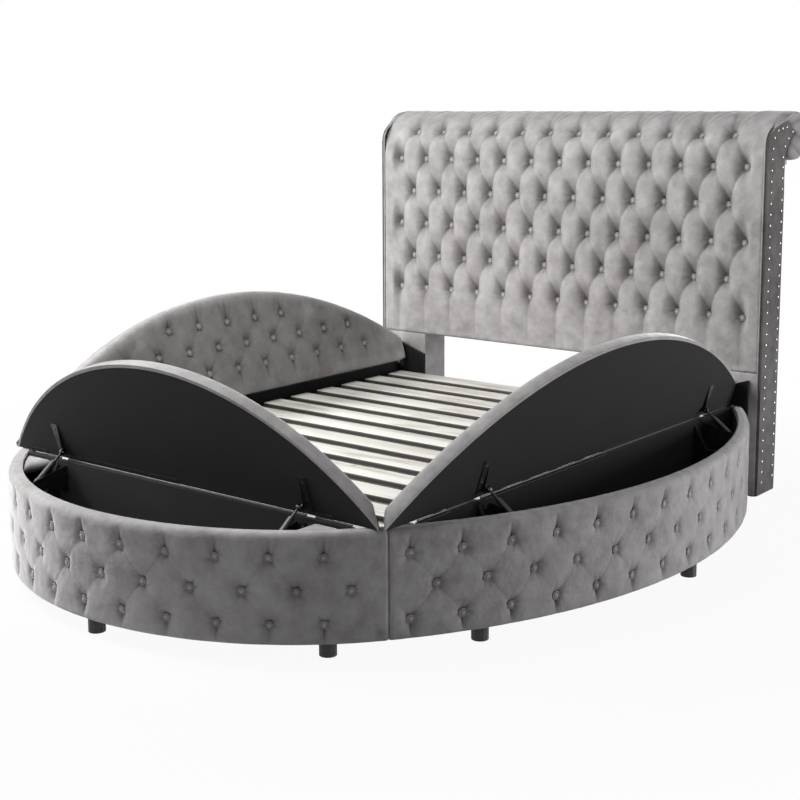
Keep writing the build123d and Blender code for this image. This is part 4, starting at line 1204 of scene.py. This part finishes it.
# Floor, lights and camera
studio = {
    "floorColour": (0.56, 0.56, 0.57), "ambient": 0.17, "underBed": 0.78, "whiteFrom": 1.7,
    # Each lamp's place, target, size and power
    "lamps": {
        "key": ((-2.8, -1.9, 2.9), (0, 0, 0.6), 1.0, 129.0),
        "front": ((-0.7, -1.6, 2.8), (0, 1.1, 0.9), 1.2, 59.0),
        "left": ((-4.2, -1.8, 1.4), (-0.5, -0.6, 0.3), 1.6, 80.0),
        "side": ((3.6, 2.2, 0.6), (0.9, 0.3, 0.3), 1.2, 85.0),
    },
    # Fitted to the photograph: turns in degrees, place in metres
    "camera": {"azimuth": 38.61, "pitch": 8.55, "roll": -0.20, "place": (3.08865, -3.79807, 1.46764),
               "sensor": 36.0, "lens": 64.44, "shift": -0.1},
}


def seenShare(nodes):
    path = nodes.add("ShaderNodeLightPath")
    rays = ("Is Camera Ray", "Is Glossy Ray", "Is Transmission Ray")
    seen = [nodes.number(path.outputs[label]) for label in rays]
    return (seen[0] + seen[1] + seen[2]).between(0, 1)


def buildFloor():
    mesh = bpy.data.meshes.new("floor")
    size = 14.0
    corners = [(-size, -size, 0), (size, -size, 0), (size, size, 0), (-size, size, 0)]
    mesh.from_pydata(corners, [], [(0, 1, 2, 3)])
    material = bpy.data.materials.new("floor")
    material.use_nodes = True
    nodes = NodeMaker(material.node_tree)
    matt = nodes.add("ShaderNodeBsdfDiffuse", None, {"Color": (*studio["floorColour"], 1)})
    glow = nodes.add("ShaderNodeEmission", None, {"Color": (1, 1, 1, 1), "Strength": 1.0})
    place = nodes.add("ShaderNodeTexCoord").outputs["Object"]
    length = nodes.add("ShaderNodeVectorMath", {"operation": "LENGTH"}, {0: place})
    away = nodes.number(length.outputs["Value"])
    white = ((away - studio["underBed"]) * 5).between(0, 1) * 0.94
    white = white + ((away - studio["whiteFrom"]) * 0.8).between(0, 1) * 0.06
    mixed = nodes.add("ShaderNodeMixShader", None,
                      {0: seenShare(nodes) * white, 1: matt.outputs[0], 2: glow.outputs[0]})
    nodes.add("ShaderNodeOutputMaterial", None, {"Surface": mixed.outputs[0]})
    newPiece("floor", mesh, material)


def buildWorld():
    world = bpy.data.worlds.new("studio")
    bpy.context.scene.world = world
    world.use_nodes = True
    nodes = NodeMaker(world.node_tree)
    strength = studio["ambient"] + seenShare(nodes) * (1 - studio["ambient"])
    light = nodes.add("ShaderNodeBackground", None, {"Color": (1, 1, 1, 1), "Strength": strength})
    nodes.add("ShaderNodeOutputWorld", None, {"Surface": light.outputs[0]})


def areaLight(name, place, target, size, power):
    data = bpy.data.lights.new(name, "AREA")
    data.size = size
    data.energy = power
    lamp = linked(name, data)
    lamp.location = place
    lamp.rotation_euler = (Vector(target) - Vector(place)).to_track_quat("-Z", "Y").to_euler()


def buildCamera():
    view = studio["camera"]
    azimuth, pitch, roll = (radians(view[label]) for label in ("azimuth", "pitch", "roll"))
    ahead = Vector((-sin(azimuth) * cos(pitch), cos(azimuth) * cos(pitch), -sin(pitch)))
    right = ahead.cross(Vector((0, 0, 1))).normalized()
    upward = right.cross(ahead)
    right, upward = right * cos(roll) + upward * sin(roll), upward * cos(roll) - right * sin(roll)
    data = bpy.data.cameras.new("camera")
    data.sensor_width = view["sensor"]
    data.lens = view["lens"]
    data.shift_y = view["shift"]
    camera = linked("camera", data)
    turn = Matrix((right, upward, -ahead)).transposed().to_4x4()
    camera.matrix_world = Matrix.Translation(view["place"]) @ turn
    bpy.context.scene.camera = camera


buildFloor()
buildWorld()
for name, lamp in studio["lamps"].items():
    areaLight(name, *lamp)
buildCamera()
bpy.context.scene.view_settings.view_transform = "Standard"
print("studio done")
